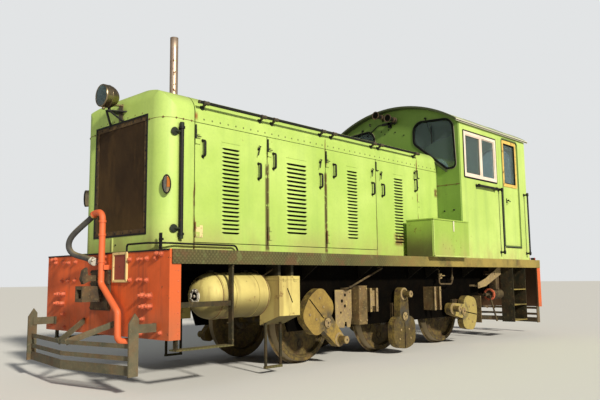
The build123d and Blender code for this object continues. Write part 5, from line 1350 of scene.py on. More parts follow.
def cab_front_details():
    x = CAB_FRONT_X
    ledge = Mesh()
    ledge.front_plate([(0.765, 2.862), (0.990, 2.682), (1.000, 2.694), (0.775, 2.876)], x - 0.001, 0.034)
    both_sides(ledge).build("window_ledges", GREEN_DARK, "body_paint")
    seam = Mesh()
    seam.box((x - 0.001, 0.806, 2.470), (x + 0.003, 1.213, 2.478))
    for y in (0.826, 0.976, 1.165):
        seam.bolt((x + 0.001, y, 2.474), X, 0.012, 0.010)
    both_sides(seam).build("cab_front_seam", RUST_BROWN, "body_paint")
    dots = Mesh()
    for y, z in ((-0.247, 3.527), (-0.172, 3.472), (-0.097, 3.537), (0.037, 3.475), (0.210, 3.398)):
        dots.bolt((x - 0.001, y, z), X, 0.012, 0.010)
    for y, z in ((0.927, 2.066), (1.094, 2.074)):
        for side in (-1, 1):
            dots.bolt((x - 0.001, side * y, z), X, 0.014, 0.012)
    dots.tube([(x, -0.470, 3.690), (x + 0.050, -0.464, 3.700), (x + 0.060, -0.455, 3.660),
               (x + 0.030, -0.445, 3.650)], 0.007, 8)
    # Wiper on each window: boss, arm and blade
    for side in (-1, 1):
        dots.rod((x, side * 0.640, 3.604), (x + 0.030, side * 0.640, 3.604), 0.015, 12)
        dots.rod((x + 0.024, side * 0.640, 3.604), (x + 0.020, side * 0.740, 3.330), 0.005, 8)
        dots.box((x + 0.012, side * 0.745 - 0.006, 3.170), (x + 0.022, side * 0.745 + 0.006, 3.460))
    dots.build("cab_front_fixings", HANDLE, "black_paint")


def horn_details():
    """Flared rims, mouths painted near black as the shade inside them, and mounting stay of the two trumpets.
    """
    rims, mouths, stay = Mesh(), Mesh(), Mesh()
    bell_x = at(5.115)
    for y, z in ((-0.172, 3.755), (0.072, 3.670)):
        place = (bell_x, y, z)
        rims.ring([(0.052, 0.000), (0.062, -0.012), (0.068, -0.006), (0.070, 0.004), (0.064, 0.007),
                   (0.056, 0.004)], place, X, 28)
        mouths.lathe([(0.056, 0.0015), (0.030, 0.0025), (0, 0.003)], place, X, 24)
        rims.lathe([(0.040, 0), (0.044, 0.004), (0.044, 0.014), (0.040, 0.018)], (-1.228, y, z), X, 20)
        rims.lathe([(0.040, 0), (0.044, 0.004), (0.044, 0.014), (0.030, 0.020)], (-1.186, y, z), X, 20)
    stay.box((-1.240, -0.190, 3.610), (-1.222, 0.100, 3.650))
    stay.box((-1.282, -0.070, 3.560), (-1.222, -0.030, 3.650))
    stay.tube([(-1.231, -0.100, 3.632), (-1.250, -0.286, 3.640), (-1.262, -0.530, 3.500),
               (-1.282, -0.552, 3.493)], 0.009, 8)
    rims.build("horn_rims", HORN_BROWN, "pipe_steel")
    mouths.build("horn_mouths", VOID, "black_paint")
    stay.build("horn_stay", HANDLE, "pipe_steel")


def round_frame(made, opening, outward, radius, inward, inner_radius, y, thickness):
    """Frame round an opening in a side, with rounded corners outside and inside."""
    made.side_frame(rounded(grown(opening, outward), [radius] * 4),
                    rounded(grown(opening, inward), [inner_radius] * 4), y, thickness)


def side_windows():
    """Alloy frames with two sliding panes in a dark rubber seal on both cab sides."""
    seal, alloy = Mesh(), Mesh()
    low, high = 2.650, 3.296
    opening = rect(at(6.600), at(5.540), 2.615, 3.330)
    middle = at(6.095)
    round_frame(seal, opening, 0.028, 0.020, -0.004, 0.010, CAB_Y - 0.001, 0.008)
    alloy.side_frame(grown(opening, 0.006), grown(opening, -0.040), CAB_Y - 0.014, 0.025)
    alloy.box((middle - 0.026, CAB_Y - 0.012, low), (middle + 0.026, CAB_Y + 0.010, high))
    sash = rect(middle + 0.020, at(5.575), low, high)
    alloy.side_frame(sash, grown(sash, -0.022), CAB_Y - 0.012, 0.016)
    other = rect(at(6.565), middle - 0.020, low, high)
    alloy.side_frame(other, grown(other, -0.018), CAB_Y - 0.014, 0.010)
    both_sides(seal).build("side_window_seals", SEAL, "black_paint")
    both_sides(alloy).build("side_window_frames", ALLOY, "lamp_metal", bevel=0.002)


def door_fittings():
    """Yellow glass frame, rusty front edge and handle on each cab door, and the seal round its opening."""
    frame_bars, seal, rust, handle, surround, sill = (Mesh() for _ in range(6))
    y = CAB_Y - 0.015
    opening = rect(at(7.370), at(6.915), 2.620, 3.350)
    round_frame(frame_bars, opening, 0.040, 0.030, -0.012, 0.020, y - 0.001, 0.012)
    round_frame(seal, opening, -0.0125, 0.020, -0.026, 0.014, y - 0.012, 0.018)
    rust.box((at(6.882), y - 0.0005, 1.640), (at(6.864), y + 0.004, 2.560))
    x = at(6.985)
    handle.rod((x, y, 2.333), (x, y + 0.040, 2.333), 0.010, 12)
    handle.tube([(x, y + 0.036, 2.352), (x, y + 0.042, 2.333), (x - 0.060, y + 0.040, 2.318)], 0.008, 8)
    handle.box((x - 0.015, y - 0.001, 2.290), (x + 0.015, y + 0.004, 2.376))
    handle.rod((x, y, 2.268), (x, y + 0.006, 2.268), 0.008, 10)
    build_each_side("cab_door_{}", (frame_bars, "door_glass_frame_{}", YELLOW, "lamp_metal"),
                    (seal, "door_glass_seal_{}", SEAL, "black_paint"),
                    (rust, "door_rust_edge_{}", RUST_BROWN, "body_paint"),
                    (handle, "cab_door_handle_{}", HANDLE, "black_paint"))
    doorway = rect(at(7.450), at(6.850), 1.560, 3.405)
    surround.side_frame(rounded(grown(doorway, 0.020), [0.010, 0.010, 0.075, 0.075]),
                        rounded(doorway, [0.010, 0.010, 0.055, 0.055]), CAB_Y - 0.001, 0.005)
    sill.box((at(7.454), CAB_Y - 0.001, 1.524), (at(6.846), CAB_Y + 0.012, 1.538))
    both_sides(surround).build("door_surrounds", SEAL_GREEN, "body_paint")
    both_sides(sill).build("door_sills", HANDLE, "black_paint")


def cab_rail_fittings():
    """Feet and end knuckles of the door rails and the window rail."""
    made = Mesh()
    foot = [(0.024, -0.001), (0.027, 0.004), (0.027, 0.008), (0.016, 0.013)]
    y = CAB_Y + 0.070
    for station in (6.650, 7.640):
        x = at(station)
        for height in (1.440, 2.486):
            made.lathe(foot + [(0.0145, 0.056)], (x, CAB_Y, height), Y, 16)
            made.lathe([(0.0185, -0.026), (0.021, -0.022), (0.021, 0.022), (0.0185, 0.026)], (x, y, height),
                       Z, 16)
        for height, way in ((1.418, -Z), (2.508, Z)):
            made.lathe([(0.0145, 0), (0.0145, 0.008), (0.008, 0.014), (0, 0.015)], (x, y, height), way, 14)
    y = CAB_Y + 0.050
    for station in (5.895, 6.498):
        x = at(station)
        made.lathe(foot + [(0.015, 0.032)], (x, CAB_Y, 2.490), Y, 16)
        made.lathe([(0.024, -0.018), (0.027, -0.012), (0.027, 0.012), (0.024, 0.018)], (x, y, 2.490), X, 16)
    bend = (at(6.700), CAB_Y + 0.030, 2.512)
    made.rod((at(6.520), y - 0.012, 2.496), bend, 0.009, 10)
    made.rod(bend, (at(6.700), CAB_Y, 2.512), 0.009, 10)
    both_sides(made).build("cab_rail_fittings", HANDLE, "black_paint")


def cab_rivets():
    made = Mesh()
    station = 5.460
    while station < 6.80:
        made.rivet((at(station), CAB_Y - 0.0005, 1.485), Y, 0.008, 0.004)
        station += 0.105
    for index in range(7):
        made.rivet((at(7.690), CAB_Y - 0.0005, 1.700 + index * 0.250), Y, 0.007, 0.004)
    for x, z in ((5.95, 2.05), (6.42, 2.02), (6.62, 1.95), (6.62, 2.40)):
        made.rivet((at(x), CAB_Y - 0.0005, z), Y, 0.008, 0.004)
    both_sides(made).build("cab_rivets", GREEN_CAB, "body_paint")
    cover = Mesh()
    cover.box((at(6.738), CAB_Y - 0.001, 1.340), (at(6.722), CAB_Y + 0.003, 3.390))
    cover.box((at(5.384), CAB_Y - 0.001, 1.340), (at(5.3795), CAB_Y + 0.002, 3.420))
    both_sides(cover).build("cab_joint_strips", GREEN_CAB, "body_paint", bevel=0.001)


def roof_gutter():
    """Rolled edges on the roof's long sides and the ribs across its top."""
    gutter = Mesh()
    edge_z = 1.664 + math.sqrt(2.213 ** 2 - 1.250 ** 2)
    gutter.box((at(7.840), 1.232, edge_z - 0.034), (at(5.270), 1.250, edge_z - 0.010))
    both_sides(gutter).build("roof_gutters", ROOF_EDGE, "roof_paint", bevel=0.004)
    ribs = Mesh()
    for station in (5.300, 6.130, 6.970, 7.812):
        outline = []
        for index in range(25):
            angle = math.radians(-33 + index * 66 / 24)
            outline.append((2.2165 * math.sin(angle), 1.664 + 2.2165 * math.cos(angle)))
        low = [(2.209 / 2.2165 * y, 1.664 + (z - 1.664) * 2.209 / 2.2165) for y, z in reversed(outline)]
        ribs.front_plate(outline + low, at(station) - 0.014, 0.028)
    ribs.build("roof_ribs", ROOF, "roof_paint")


def toolbox_fittings():
    """Hasp on each lid, staple band and corner irons on the boxes."""
    hasp, irons = Mesh(), Mesh()
    x = at(4.930)
    hasp.side_plate(rounded(rect(x - 0.013, x + 0.013, 1.700, 1.834), [0.010, 0.010, 0.003, 0.003], 3),
                    1.3300, 0.0045)
    hasp.box((x - 0.013, 1.3280, 1.820), (x + 0.013, 1.3350, 1.852))
    build_each_side("toolbox_lid_{}", (hasp, "toolbox_hasp_{}", CREAM_PAINT, "pipe_steel"))
    front, rear = at(4.380), at(5.379)
    irons.box((front - 0.020, 1.3245, 1.332), (front + 0.003, 1.3285, 1.845))
    irons.box((front - 0.001, 1.300, 1.332), (front + 0.003, 1.3285, 1.845))
    irons.box((rear, 1.3245, 1.328), (front + 0.003, 1.3285, 1.348))
    both_sides(irons).build("toolbox_irons", GREEN_CAB, "body_paint", bevel=0.001)


wall_seals()
cab_front_details()
horn_details()
side_windows()
door_fittings()
cab_rail_fittings()
cab_rivets()
roof_gutter()
toolbox_fittings()


# Underframe


def tank_fittings():
    """White manhole ring, straps and rusty weld on each air tank."""
    ring, hole, bands, weld, pipe = (Mesh() for _ in range(5))
    y, z = 0.895, 0.872
    tip = (at(0.530), y, z)
    ring.ring([(0.045, -0.004), (0.076, -0.014), (0.079, -0.006), (0.076, 0.006), (0.050, 0.012),
               (0.045, 0.008)], tip, X, 36)
    for dy, dz in around(8, 0.062, 22.5):
        ring.bolt((tip[0] + 0.007, y + dy, z + dz), X, 0.007, 0.009)
    hole.lathe([(0.046, -0.002), (0.046, 0.004), (0.020, 0.006), (0, 0.006)], tip, X, 28)
    ring.lathe([(0.016, 0.004), (0.016, 0.016), (0.010, 0.020), (0, 0.020)], tip, X, 16)
    for station, half in ((0.910, 0.022), (0.760, 0.034), (1.240, 0.034)):
        bands.ring([(0.2355, -half), (0.2415, -half), (0.2415, half), (0.2355, half)], (at(station), y, z), X,
                   64)
    for station in (0.712, 1.345):
        weld.ring([(0.2345, -0.006), (0.2385, -0.003), (0.2390, 0.001), (0.2380, 0.005), (0.2345, 0.007)],
                  (at(station), y, z), X, 64)
    # Drain cock under the tank and feed pipe from its rear end to the frame
    x = at(1.000)
    pipe.rod((x, y, z - 0.234), (x, y, z - 0.275), 0.016, 12)
    pipe.rod((x, y, z - 0.275), (x, y, z - 0.300), 0.024, 6)
    pipe.rod((x - 0.030, y, z - 0.286), (x + 0.045, y, z - 0.286), 0.006, 8)
    pipe.tube([(at(1.450), y - 0.09, z + 0.10), (at(1.462), y - 0.10, z + 0.12),
               (at(1.462), 0.860, z + 0.20)], 0.010, 10)
    for mesh, name, material, slot, bevel in ((ring, "manhole_rings", COUPLING, "tank_paint", 0.001),
                                              (hole, "manhole_covers", VOID, "black_paint", 0.0),
                                              (bands, "tank_bands", TANK, "tank_paint", 0.0),
                                              (weld, "tank_welds", RUST_BROWN, "tank_paint", 0.0),
                                              (pipe, "tank_pipes", BRAKE, "pipe_steel", 0.0)):
        both_sides(mesh).build(name, material, slot, bevel=bevel)


def side_box_fittings():
    """Scraped line, lid seam, hinges and toggle on each side box."""
    y = 1.130
    front, skew = at(1.500), 0.050
    line, trim = Mesh(), Mesh()
    line.side_plate([(at(1.625) - 0.005, 0.936), (at(1.625) + 0.005, 0.930), (at(1.705) + 0.005, 0.774),
                     (at(1.705) - 0.005, 0.780)], y, 0.003)
    trim.box((at(1.825) - 0.002, y - 0.001, 1.026), (front + 0.002, y + 0.003, 1.032))
    for station in (1.580, 1.750):
        x = at(station)
        trim.box((x - 0.022, y - 0.001, 1.006), (x + 0.022, y + 0.005, 1.052))
        trim.rod((x - 0.024, y + 0.006, 1.029), (x + 0.024, y + 0.006, 1.029), 0.006, 10)
        for dx in (-0.013, 0.013):
            trim.rivet((x + dx, y + 0.004, 1.012), Y, 0.005, 0.003)
    # Folded seams along the skewed front face: its two edges and the lid line
    for low_in, low_out, high_in, high_out in ((0.532, 0.637, 0.540, 0.645), (1.060, 1.060, 1.068, 1.068),
                                               (1.026, 1.026, 1.032, 1.032)):
        inside = [(front + skew, 0.874, low_in), (front + skew + 0.003, 0.8745, low_in),
                  (front + skew + 0.003, 0.8745, high_in), (front + skew, 0.874, high_in)]
        outside = [(front - 0.001, y, low_out), (front + 0.003, y + 0.002, low_out),
                   (front + 0.003, y + 0.002, high_out), (front - 0.001, y, high_out)]
        trim.skin([inside, outside])
    trim.box((front - 0.010, y - 0.010, 0.637), (front + 0.0030, y + 0.0030, 1.067))
    both_sides(line).build("box_scrapes", VOID, "tank_paint")
    both_sides(trim).build("box_trims", BOX_CREAM, "tank_paint", bevel=0.001)


def crank_marks():
    """Dark groove along each counterweight, the bolted axle cap and the pin's end cap."""
    for name, (axle_x, angle) in AXLES.items():
        groove, cap, dark = Mesh(), Mesh(), Mesh()
        for out, turn in ((Y, angle), (-Y, angle + 90.0)):
            way = Vector((-math.cos(math.radians(turn)), 0, -math.sin(math.radians(turn))))
            across = Vector((way.z, 0, -way.x))
            hub = Vector((axle_x, 0, AXLE_Z)) + out * 1.030
            groove.skin([[p - across * 0.007, p + across * 0.007, p + across * 0.007 + out * 0.0015,
                          p - across * 0.007 + out * 0.0015] for p in (hub + way * 0.085, hub + way * 0.425)])
            cap_face = hub + out * 0.012
            cap.lathe([(0.058, -0.001), (0.058, 0.004), (0.052, 0.007), (0.020, 0.008), (0, 0.008)], cap_face,
                      out, 28)
            for dx, dz in around(3, 0.040, turn + 60):
                dark.bolt(cap_face + Vector((dx, 0, dz)) + out * 0.005, out, 0.009, 0.008)
            dark.lathe([(0.016, 0), (0.016, 0.0095), (0, 0.0095)], cap_face, out, 16)
            collar = hub - way * 0.305
            cap.lathe([(0.086, -0.001), (0.086, 0.006), (0.064, 0.010), (0.050, 0.010)], collar, out, 32)
            pin = collar + out * 0.115
            cap.lathe([(0.0455, -0.010), (0.0455, -0.001), (0.040, 0.004), (0.016, 0.005), (0, 0.005)], pin,
                      out, 24)
            dark.lathe([(0.012, 0), (0.012, 0.0065), (0, 0.0065)], pin, out, 14)
            for reach, shift in ((0.300, 0.130), (0.300, -0.130), (0.180, 0.095), (0.180, -0.095)):
                cap.bolt(hub + way * reach + across * shift - out * 0.001, out, 0.016, 0.011)
        body = f"wheelset_{name}"
        groove.build(f"crank_grooves_{name}", VOID, "crank_steel", body)
        cap.build(f"crank_caps_{name}", PLATE_TAN, "crank_steel", body, 0.001)
        dark.build(f"crank_bolts_{name}", BRAKE, "crank_steel", body)


def wheel_details():
    """Tyre seam and ringed lightening holes on the outer face of each wheel."""
    for name, (axle_x, _) in AXLES.items():
        made = Mesh()
        for out in (-Y, Y):
            hub = Vector((axle_x, 0, AXLE_Z))
            for dx, dz in around(6, 0.27, 30):
                made.ring([(0.044, -0.001), (0.056, -0.001), (0.056, 0.005), (0.044, 0.005)],
                          hub + out * WHEEL_FACE_Y + Vector((dx, 0, dz)), out, 20)
            made.ring([(0.426, -0.001), (0.432, -0.001), (0.432, 0.002), (0.426, 0.002)],
                      hub + out * RIM_FACE_Y, out, 64)
        made.build(f"wheel_rings_{name}", BRAKE, "wheel_steel", f"wheelset_{name}")


def bracket_plates():
    """Plates bolted to the frame between the cranks, with their holes, near-black discs as painted shade, and
    notch.
    """
    tan, rods = Mesh(), Mesh()
    y = 0.906
    # Front plate behind the crank: a notch at its foot, four holes and its bolts
    outline = [(at(2.985), 0.420), (at(2.925), 0.420), (at(2.912), 0.490), (at(2.880), 0.490),
               (at(2.868), 0.420), (at(2.700), 0.430), (at(2.692), 0.893), (at(3.020), 0.893),
               (at(3.020), 0.560)]
    tan.side_plate(outline, y, 0.010)
    tan.box((at(3.000), 0.869, 0.520), (at(2.960), y, 0.860))
    for s, z, radius in ((2.887, 0.826, 0.020), (2.825, 0.753, 0.022), (2.883, 0.688, 0.020),
                         (2.800, 0.610, 0.014)):
        rods.rod((at(s), y + 0.0095, z), (at(s), y + 0.0112, z), radius, 18)
    for s, z in ((2.985, 0.865), (2.985, 0.640), (2.950, 0.540)):
        tan.bolt((at(s), y + 0.009, z), Y, 0.012, 0.010)
    for s, z in ((3.060, 0.900), (3.190, 0.900), (3.060, 0.500), (3.190, 0.500)):
        tan.bolt((at(s), 1.0195, z), Y, 0.014, 0.012)
    # Pair of posts with a tan cover between the front and middle cranks, and their twins behind
    for s0, s1, low, high in ((3.300, 3.408, 0.610, 0.895), (4.800, 4.918, 0.575, 0.890)):
        tan.box((at(s1), 0.985, low + 0.06), (at(s0), 0.995, high - 0.02))
        for z in (low + 0.10, high - 0.07):
            tan.bolt((at((s0 + s1) / 2), 0.994, z), Y, 0.016, 0.012)
        rods.rod((at(s0 + 0.030), 0.9965, low + 0.17), (at(s0 + 0.030), 0.9975, low + 0.17), 0.022, 16)
    for s, low, high in ((3.290, 0.600, 0.905), (3.420, 0.600, 0.905), (4.790, 0.560, 0.900),
                         (4.930, 0.560, 0.900)):
        outer = 1.020 if s < 4 else 1.060
        tan.box((at(s) - 0.020, outer - 0.001, low), (at(s) + 0.020, outer + 0.008, high))
        tan.bolt((at(s), outer + 0.007, high - 0.05), Y, 0.012, 0.012)
        tan.bolt((at(s), outer + 0.007, low + 0.05), Y, 0.012, 0.012)
    both_sides(tan).build("bracket_plates", PLATE_TAN, "frame_paint", bevel=0.002)
    both_sides(rods).build("bracket_holes", VOID, "black_paint")


def brake_stays():
    """Diagonal stays, the tap with its U pipe and the wide bar beside the frame."""
    made, bar, lump = Mesh(), Mesh(), Mesh()
    y = 0.985
    made.tube([(at(2.888), y, 0.914), (at(3.603), y, 1.169), (at(3.640), 0.940, 1.180),
               (at(3.640), 0.874, 1.180)], 0.012, 10)
    made.tube([(at(2.888), y, 0.914), (at(2.860), 0.940, 0.905), (at(2.860), 0.874, 0.905)], 0.012, 10)
    made.tube([(at(1.363), y, 1.060), (at(1.643), y, 1.193), (at(1.680), 0.940, 1.205),
               (at(1.680), 0.874, 1.205)], 0.010, 10)
    made.tube([(at(1.363), y, 1.060), (at(1.330), y, 1.080), (at(1.330), 0.960, 1.110),
               (at(1.330), 0.874, 1.140)], 0.010, 10)
    made.tube([(at(5.433), y, 1.290), (at(5.433), y, 1.161), (at(5.415), y, 0.931), (at(5.041), y, 0.936),
               (at(5.050), y, 1.070), (at(5.050), y, 1.160), (at(5.050), 0.874, 1.160)], 0.013, 12)
    made.rod((at(5.415), y, 0.990), (at(5.433), y, 1.040), 0.022, 6)
    lump.lathe([(0.014, -0.045), (0.030, -0.038), (0.034, -0.012), (0.026, 0.004), (0.034, 0.018),
                (0.030, 0.040), (0.014, 0.046)], (at(5.070), y, 1.055), (0.1, 0, 1), 18)
    lump.rod((at(5.070), y, 1.055), (at(5.070), y + 0.060, 1.060), 0.010, 10)
    lump.rod((at(5.070) - 0.040, y + 0.058, 1.060), (at(5.070) + 0.040, y + 0.058, 1.060), 0.008, 8)
    y = 1.028
    sections = []
    for s, high, low in ((6.960, 1.235, 1.075), (6.420, 1.010, 0.885), (6.150, 0.940, 0.850)):
        x = at(s)
        sections.append([(x, y, high), (x, y, low), (x, y + 0.012, low), (x, y + 0.012, high)])
    bar.skin(sections)
    for s, z in ((6.180, 0.893), (6.740, 1.082)):
        bar.rod((at(s), 0.868, z), (at(s), y + 0.002, z), 0.016, 10)
        bar.bolt((at(s), y + 0.011, z), Y, 0.018, 0.014)
    both_sides(made).build("brake_stays", BRAKE, "pipe_steel")
    both_sides(lump).build("tap_bodies", PLATE_TAN, "pipe_steel")
    both_sides(bar).build("diagonal_bars", PLATE_TAN, "frame_paint", bevel=0.002)


def brake_cylinder_fittings():
    """Red ring, bolts, clevis and hose tail on each brake cylinder."""
    red, bolts, rod_end = Mesh(), Mesh(), Mesh()
    y, z = 0.960, 0.740
    x = at(6.680)
    front, rear = (x, y, z), (at(7.040), y, z)
    red.ring([(0.070, 0.0115), (0.0975, 0.0115), (0.0975, 0.020), (0.070, 0.022)], front, X, 40)
    red.ring([(0.095, -0.010), (0.0985, -0.008), (0.0985, 0.0115), (0.095, 0.0115)], front, X, 40)
    for dy, dz in around(8, 0.085, 22.5):
        bolts.bolt((x + 0.019, y + dy, z + dz), X, 0.008, 0.010)
    bolts.ring([(0.077, 0), (0.0825, 0.002), (0.0825, 0.012), (0.077, 0.014)], rear, X, 40)
    bolts.side_plate([(x + 0.030, 0.700), (x + 0.070, 0.720), (x - 0.140, 0.290), (x - 0.185, 0.290)],
                     y + 0.026, 0.014)
    bolts.rod((x + 0.040, y + 0.010, 0.715), (x + 0.040, y + 0.046, 0.715), 0.014, 12)
    bolts.rod((x - 0.155, 0.868, 0.440), (x - 0.155, y + 0.040, 0.440), 0.014, 12)
    bolts.lathe([(0.045, 0.001), (0.045, -0.014), (0.030, -0.022), (0, -0.022)], rear, X)
    rod_end.lathe([(0.0205, 0), (0.030, 0.004), (0.030, 0.030), (0.0205, 0.034)], (x + 0.120, y, z), X, 20)
    rod_end.box((x + 0.160, y - 0.024, z - 0.026), (x + 0.180, y + 0.024, z + 0.026))
    rod_end.rod((x + 0.170, y - 0.034, z), (x + 0.170, y + 0.034, z), 0.012, 12)
    both_sides(red).build("cylinder_red_rings", RED_BOLT, "pipe_steel", bevel=0.001)
    both_sides(bolts).build("cylinder_bolts", BRAKE, "pipe_steel")
    both_sides(rod_end).build("cylinder_rod_ends", BRAKE, "pipe_steel", bevel=0.001)


def spring_fittings():
    """Buckle bolts and hanger nuts of the springs, and cover plates on the axleboxes."""
    clips, covers, shine = Mesh(), Mesh(), Mesh()
    for axle_x, _ in AXLES.values():
        for dx in (-0.034, 0.034):
            clips.bolt((axle_x + dx, 0.836, 0.789), Z, 0.012, 0.016)
        for dx in (-0.385, 0.385):
            clips.bolt((axle_x + dx, 0.822, 0.829), Z, 0.014, 0.018)
        for dz in (0.430, 0.660):
            for dx in (-0.095, 0.095):
                covers.bolt((axle_x + dx, 0.904, dz), Y, 0.012, 0.012)
        covers.side_frame(rect(axle_x - 0.120, axle_x + 0.120, 0.405, 0.684),
                          rect(axle_x - 0.108, axle_x + 0.108, 0.417, 0.672), 0.904, 0.004)
    both_sides(clips).build("spring_nuts", BRAKE, "spring_steel")
    both_sides(covers).build("axlebox_trims", AXLEBOX, "frame_paint")


def step_fittings():
    """Bolts on the hangers, and kick plates behind the cab steps."""
    bolts, backs = Mesh(), Mesh()
    for station in (0.110, 0.780):
        for z in (0.440, 0.804, 1.180):
            y = 1.179 if station < 0.5 else 1.191
            bolts.bolt((at(station), y - 0.001, z), Y, 0.011, 0.010)
    for low, high in ((0.330, 0.545), (0.590, 0.805), (0.850, 1.130)):
        backs.box((at(7.552), 0.978, low), (at(7.088), 0.984, high))
        for s in (7.140, 7.500):
            backs.bolt((at(s), 0.983, high - 0.04), Y, 0.009, 0.008)
    for station in (7.080, 7.560):
        for z in (0.310, 0.570, 0.830, 1.200):
            for way in (-1, 1):
                bolts.bolt((at(station) + way * 0.0055, 1.160, z), (way, 0, 0), 0.010, 0.009)
    both_sides(bolts).build("step_bolts", BRAKE, "deck_steel")
    both_sides(backs).build("step_backs", STEP_STEEL, "deck_steel")


def deck_fittings():
    """Red lights on the deck's rear corners."""
    lamps, housings = Mesh(), Mesh()
    for s in (7.860, 8.080):
        housings.box((at(s) - 0.024, 1.105, 1.3285), (at(s) + 0.024, 1.165, 1.372))
        lamps.lathe([(0.021, 0), (0.021, 0.008), (0.012, 0.014), (0, 0.015)], (at(s), 1.165, 1.352), Y, 18)
    both_sides(housings).build("deck_lamp_boxes", BLACK, "black_paint", bevel=0.002)
    both_sides(lamps).build("deck_lamp_lenses", LENS_RED, "window_glass")


def coupler_details():
    """Bolted frame round each coupler's hole in the headstock."""
    made = Mesh()
    x = HALF_LENGTH
    made.front_frame(rect(-0.190, 0.190, 0.735, 1.150), rect(-0.150, 0.150, 0.775, 1.105), x - 0.001, 0.016)
    for y in (-0.172, 0.172):
        for z in (0.758, 0.870, 1.010, 1.128):
            made.bolt((x + 0.014, y, z), X, 0.015, 0.014)
    made.build("coupler_frames_front", COUPLER, "frame_paint", bevel=0.003)
    made.turned().build("coupler_frames_rear", COUPLER, "frame_paint", bevel=0.003)


tank_fittings()
side_box_fittings()
crank_marks()
wheel_details()
bracket_plates()
brake_stays()
brake_cylinder_fittings()
spring_fittings()
step_fittings()
deck_fittings()
coupler_details()


# Engine and cab inside


def engine_top():
    """Rocker covers, injectors, exhaust manifold and its pipe up to the stack."""
    covers, pipes, hot = Mesh(), Mesh(), Mesh()
    for index in range(6):
        x = 1.020 + index * 0.330
        covers.front_plate([(-0.150, 2.479), (0.150, 2.479), (0.150, 2.540), (0.105, 2.585), (-0.105, 2.585),
                            (-0.150, 2.540)], x - 0.130, 0.260)
        for y in (-0.125, 0.125):
            for dx in (-0.100, 0.100):
                covers.bolt((x + dx, y * 1.02, 2.560), (0, y / 0.125 * 0.7, 0.7), 0.010, 0.012)
        pipes.rod((x, 0.190, 2.478), (x, 0.190, 2.545), 0.020, 12)
        pipes.tube([(x, 0.190, 2.545), (x, 0.240, 2.580), (x, 0.330, 2.520), (x, 0.372, 2.300)], 0.005, 8)
        hot.tube([(x, -0.170, 2.520), (x, -0.250, 2.530), (x, -0.300, 2.580)], 0.034, 14)
    hot.rod((0.930, -0.300, 2.600), (2.760, -0.300, 2.600), 0.052, 20)
    hot.tube([(2.740, -0.300, 2.600), (2.980, -0.300, 2.620), (3.140, -0.080, 2.760), (3.221, 0, 2.880),
              (3.221, 0, 3.040)], 0.044, 16)
    for x in (1.190, 1.850, 2.510):
        hot.ring([(0.050, -0.016), (0.066, -0.016), (0.066, 0.016), (0.050, 0.016)], (x, -0.300, 2.600), X,
                 24)
    covers.build("rocker_covers", ENGINE, "engine_paint", bevel=0.006)
    pipes.build("injector_pipes", BRASS, "pipe_steel")
    hot.build("exhaust_manifold", STACK, "stack_steel")


def engine_sides():
    """Crankcase doors with their bolts, the injection pump, filters and the rail of pipes."""
    doors, fittings, filters = Mesh(), Mesh(), Mesh()
    for side in (-1, 1):
        y = side * 0.400
        out = (0, side, 0)
        for index in range(6):
            x = 1.020 + index * 0.330
            outline = rounded(rect(x - 0.120, x + 0.120, 1.640, 1.900), [0.030] * 4, 4)
            doors.side_plate(outline, y, side * 0.022)
            for dx, dz in ((-0.100, 0.110), (0.100, 0.110), (-0.100, -0.110), (0.100, -0.110)):
                fittings.bolt((x + dx, y + side * 0.020, 1.770 + dz), out, 0.010, 0.010)
        doors.box((0.800, min(y, y + side * 0.030), 1.960), (2.900, max(y, y + side * 0.030), 1.995))
        doors.box((0.760, min(y, y + side * 0.045), 1.420), (2.940, max(y, y + side * 0.045), 1.500))
        for index in range(14):
            fittings.bolt((0.860 + index * 0.155, y + side * 0.043, 1.460), out, 0.012, 0.012)
            fittings.bolt((0.860 + index * 0.155, y + side * 0.028, 1.978), out, 0.008, 0.008)
        fittings.tube([(0.800, y + side * 0.050, 2.240), (2.860, y + side * 0.050, 2.240),
                       (2.930, y + side * 0.020, 2.300)], 0.014, 12)
    fittings.box((1.500, 0.399, 2.060), (2.300, 0.500, 2.180))
    for index in range(6):
        x = 1.560 + index * 0.132
        fittings.rod((x, 0.450, 2.178), (x, 0.450, 2.235), 0.018, 12)
        fittings.tube([(x, 0.450, 2.230), (x, 0.440, 2.290), (1.020 + index * 0.330, 0.400, 2.330)], 0.005, 8)
    for x in (0.960, 1.130):
        filters.lathe([(0.030, 0), (0.052, 0.008), (0.055, 0.030), (0.055, 0.210), (0.048, 0.225),
                       (0.020, 0.230), (0, 0.230)], (x, 0.462, 2.010), Z, 28)
        fittings.box((x - 0.060, 0.399, 2.235), (x + 0.060, 0.515, 2.262))
    filters.lathe([(0.100, 0), (0.135, 0.010), (0.140, 0.040), (0.140, 0.330), (0.120, 0.350), (0.060, 0.360),
                   (0, 0.360)], (0.480, 0, 2.180), Z, 36)
    filters.rod((0.480, 0, 2.049), (0.480, 0, 2.182), 0.050, 16)
    doors.build("crankcase_doors", ENGINE, "engine_paint", bevel=0.004)
    fittings.build("engine_fittings", BRAKE, "engine_paint", bevel=0.001)
    filters.build("engine_filters", BLACK, "black_paint", bevel=0.002)


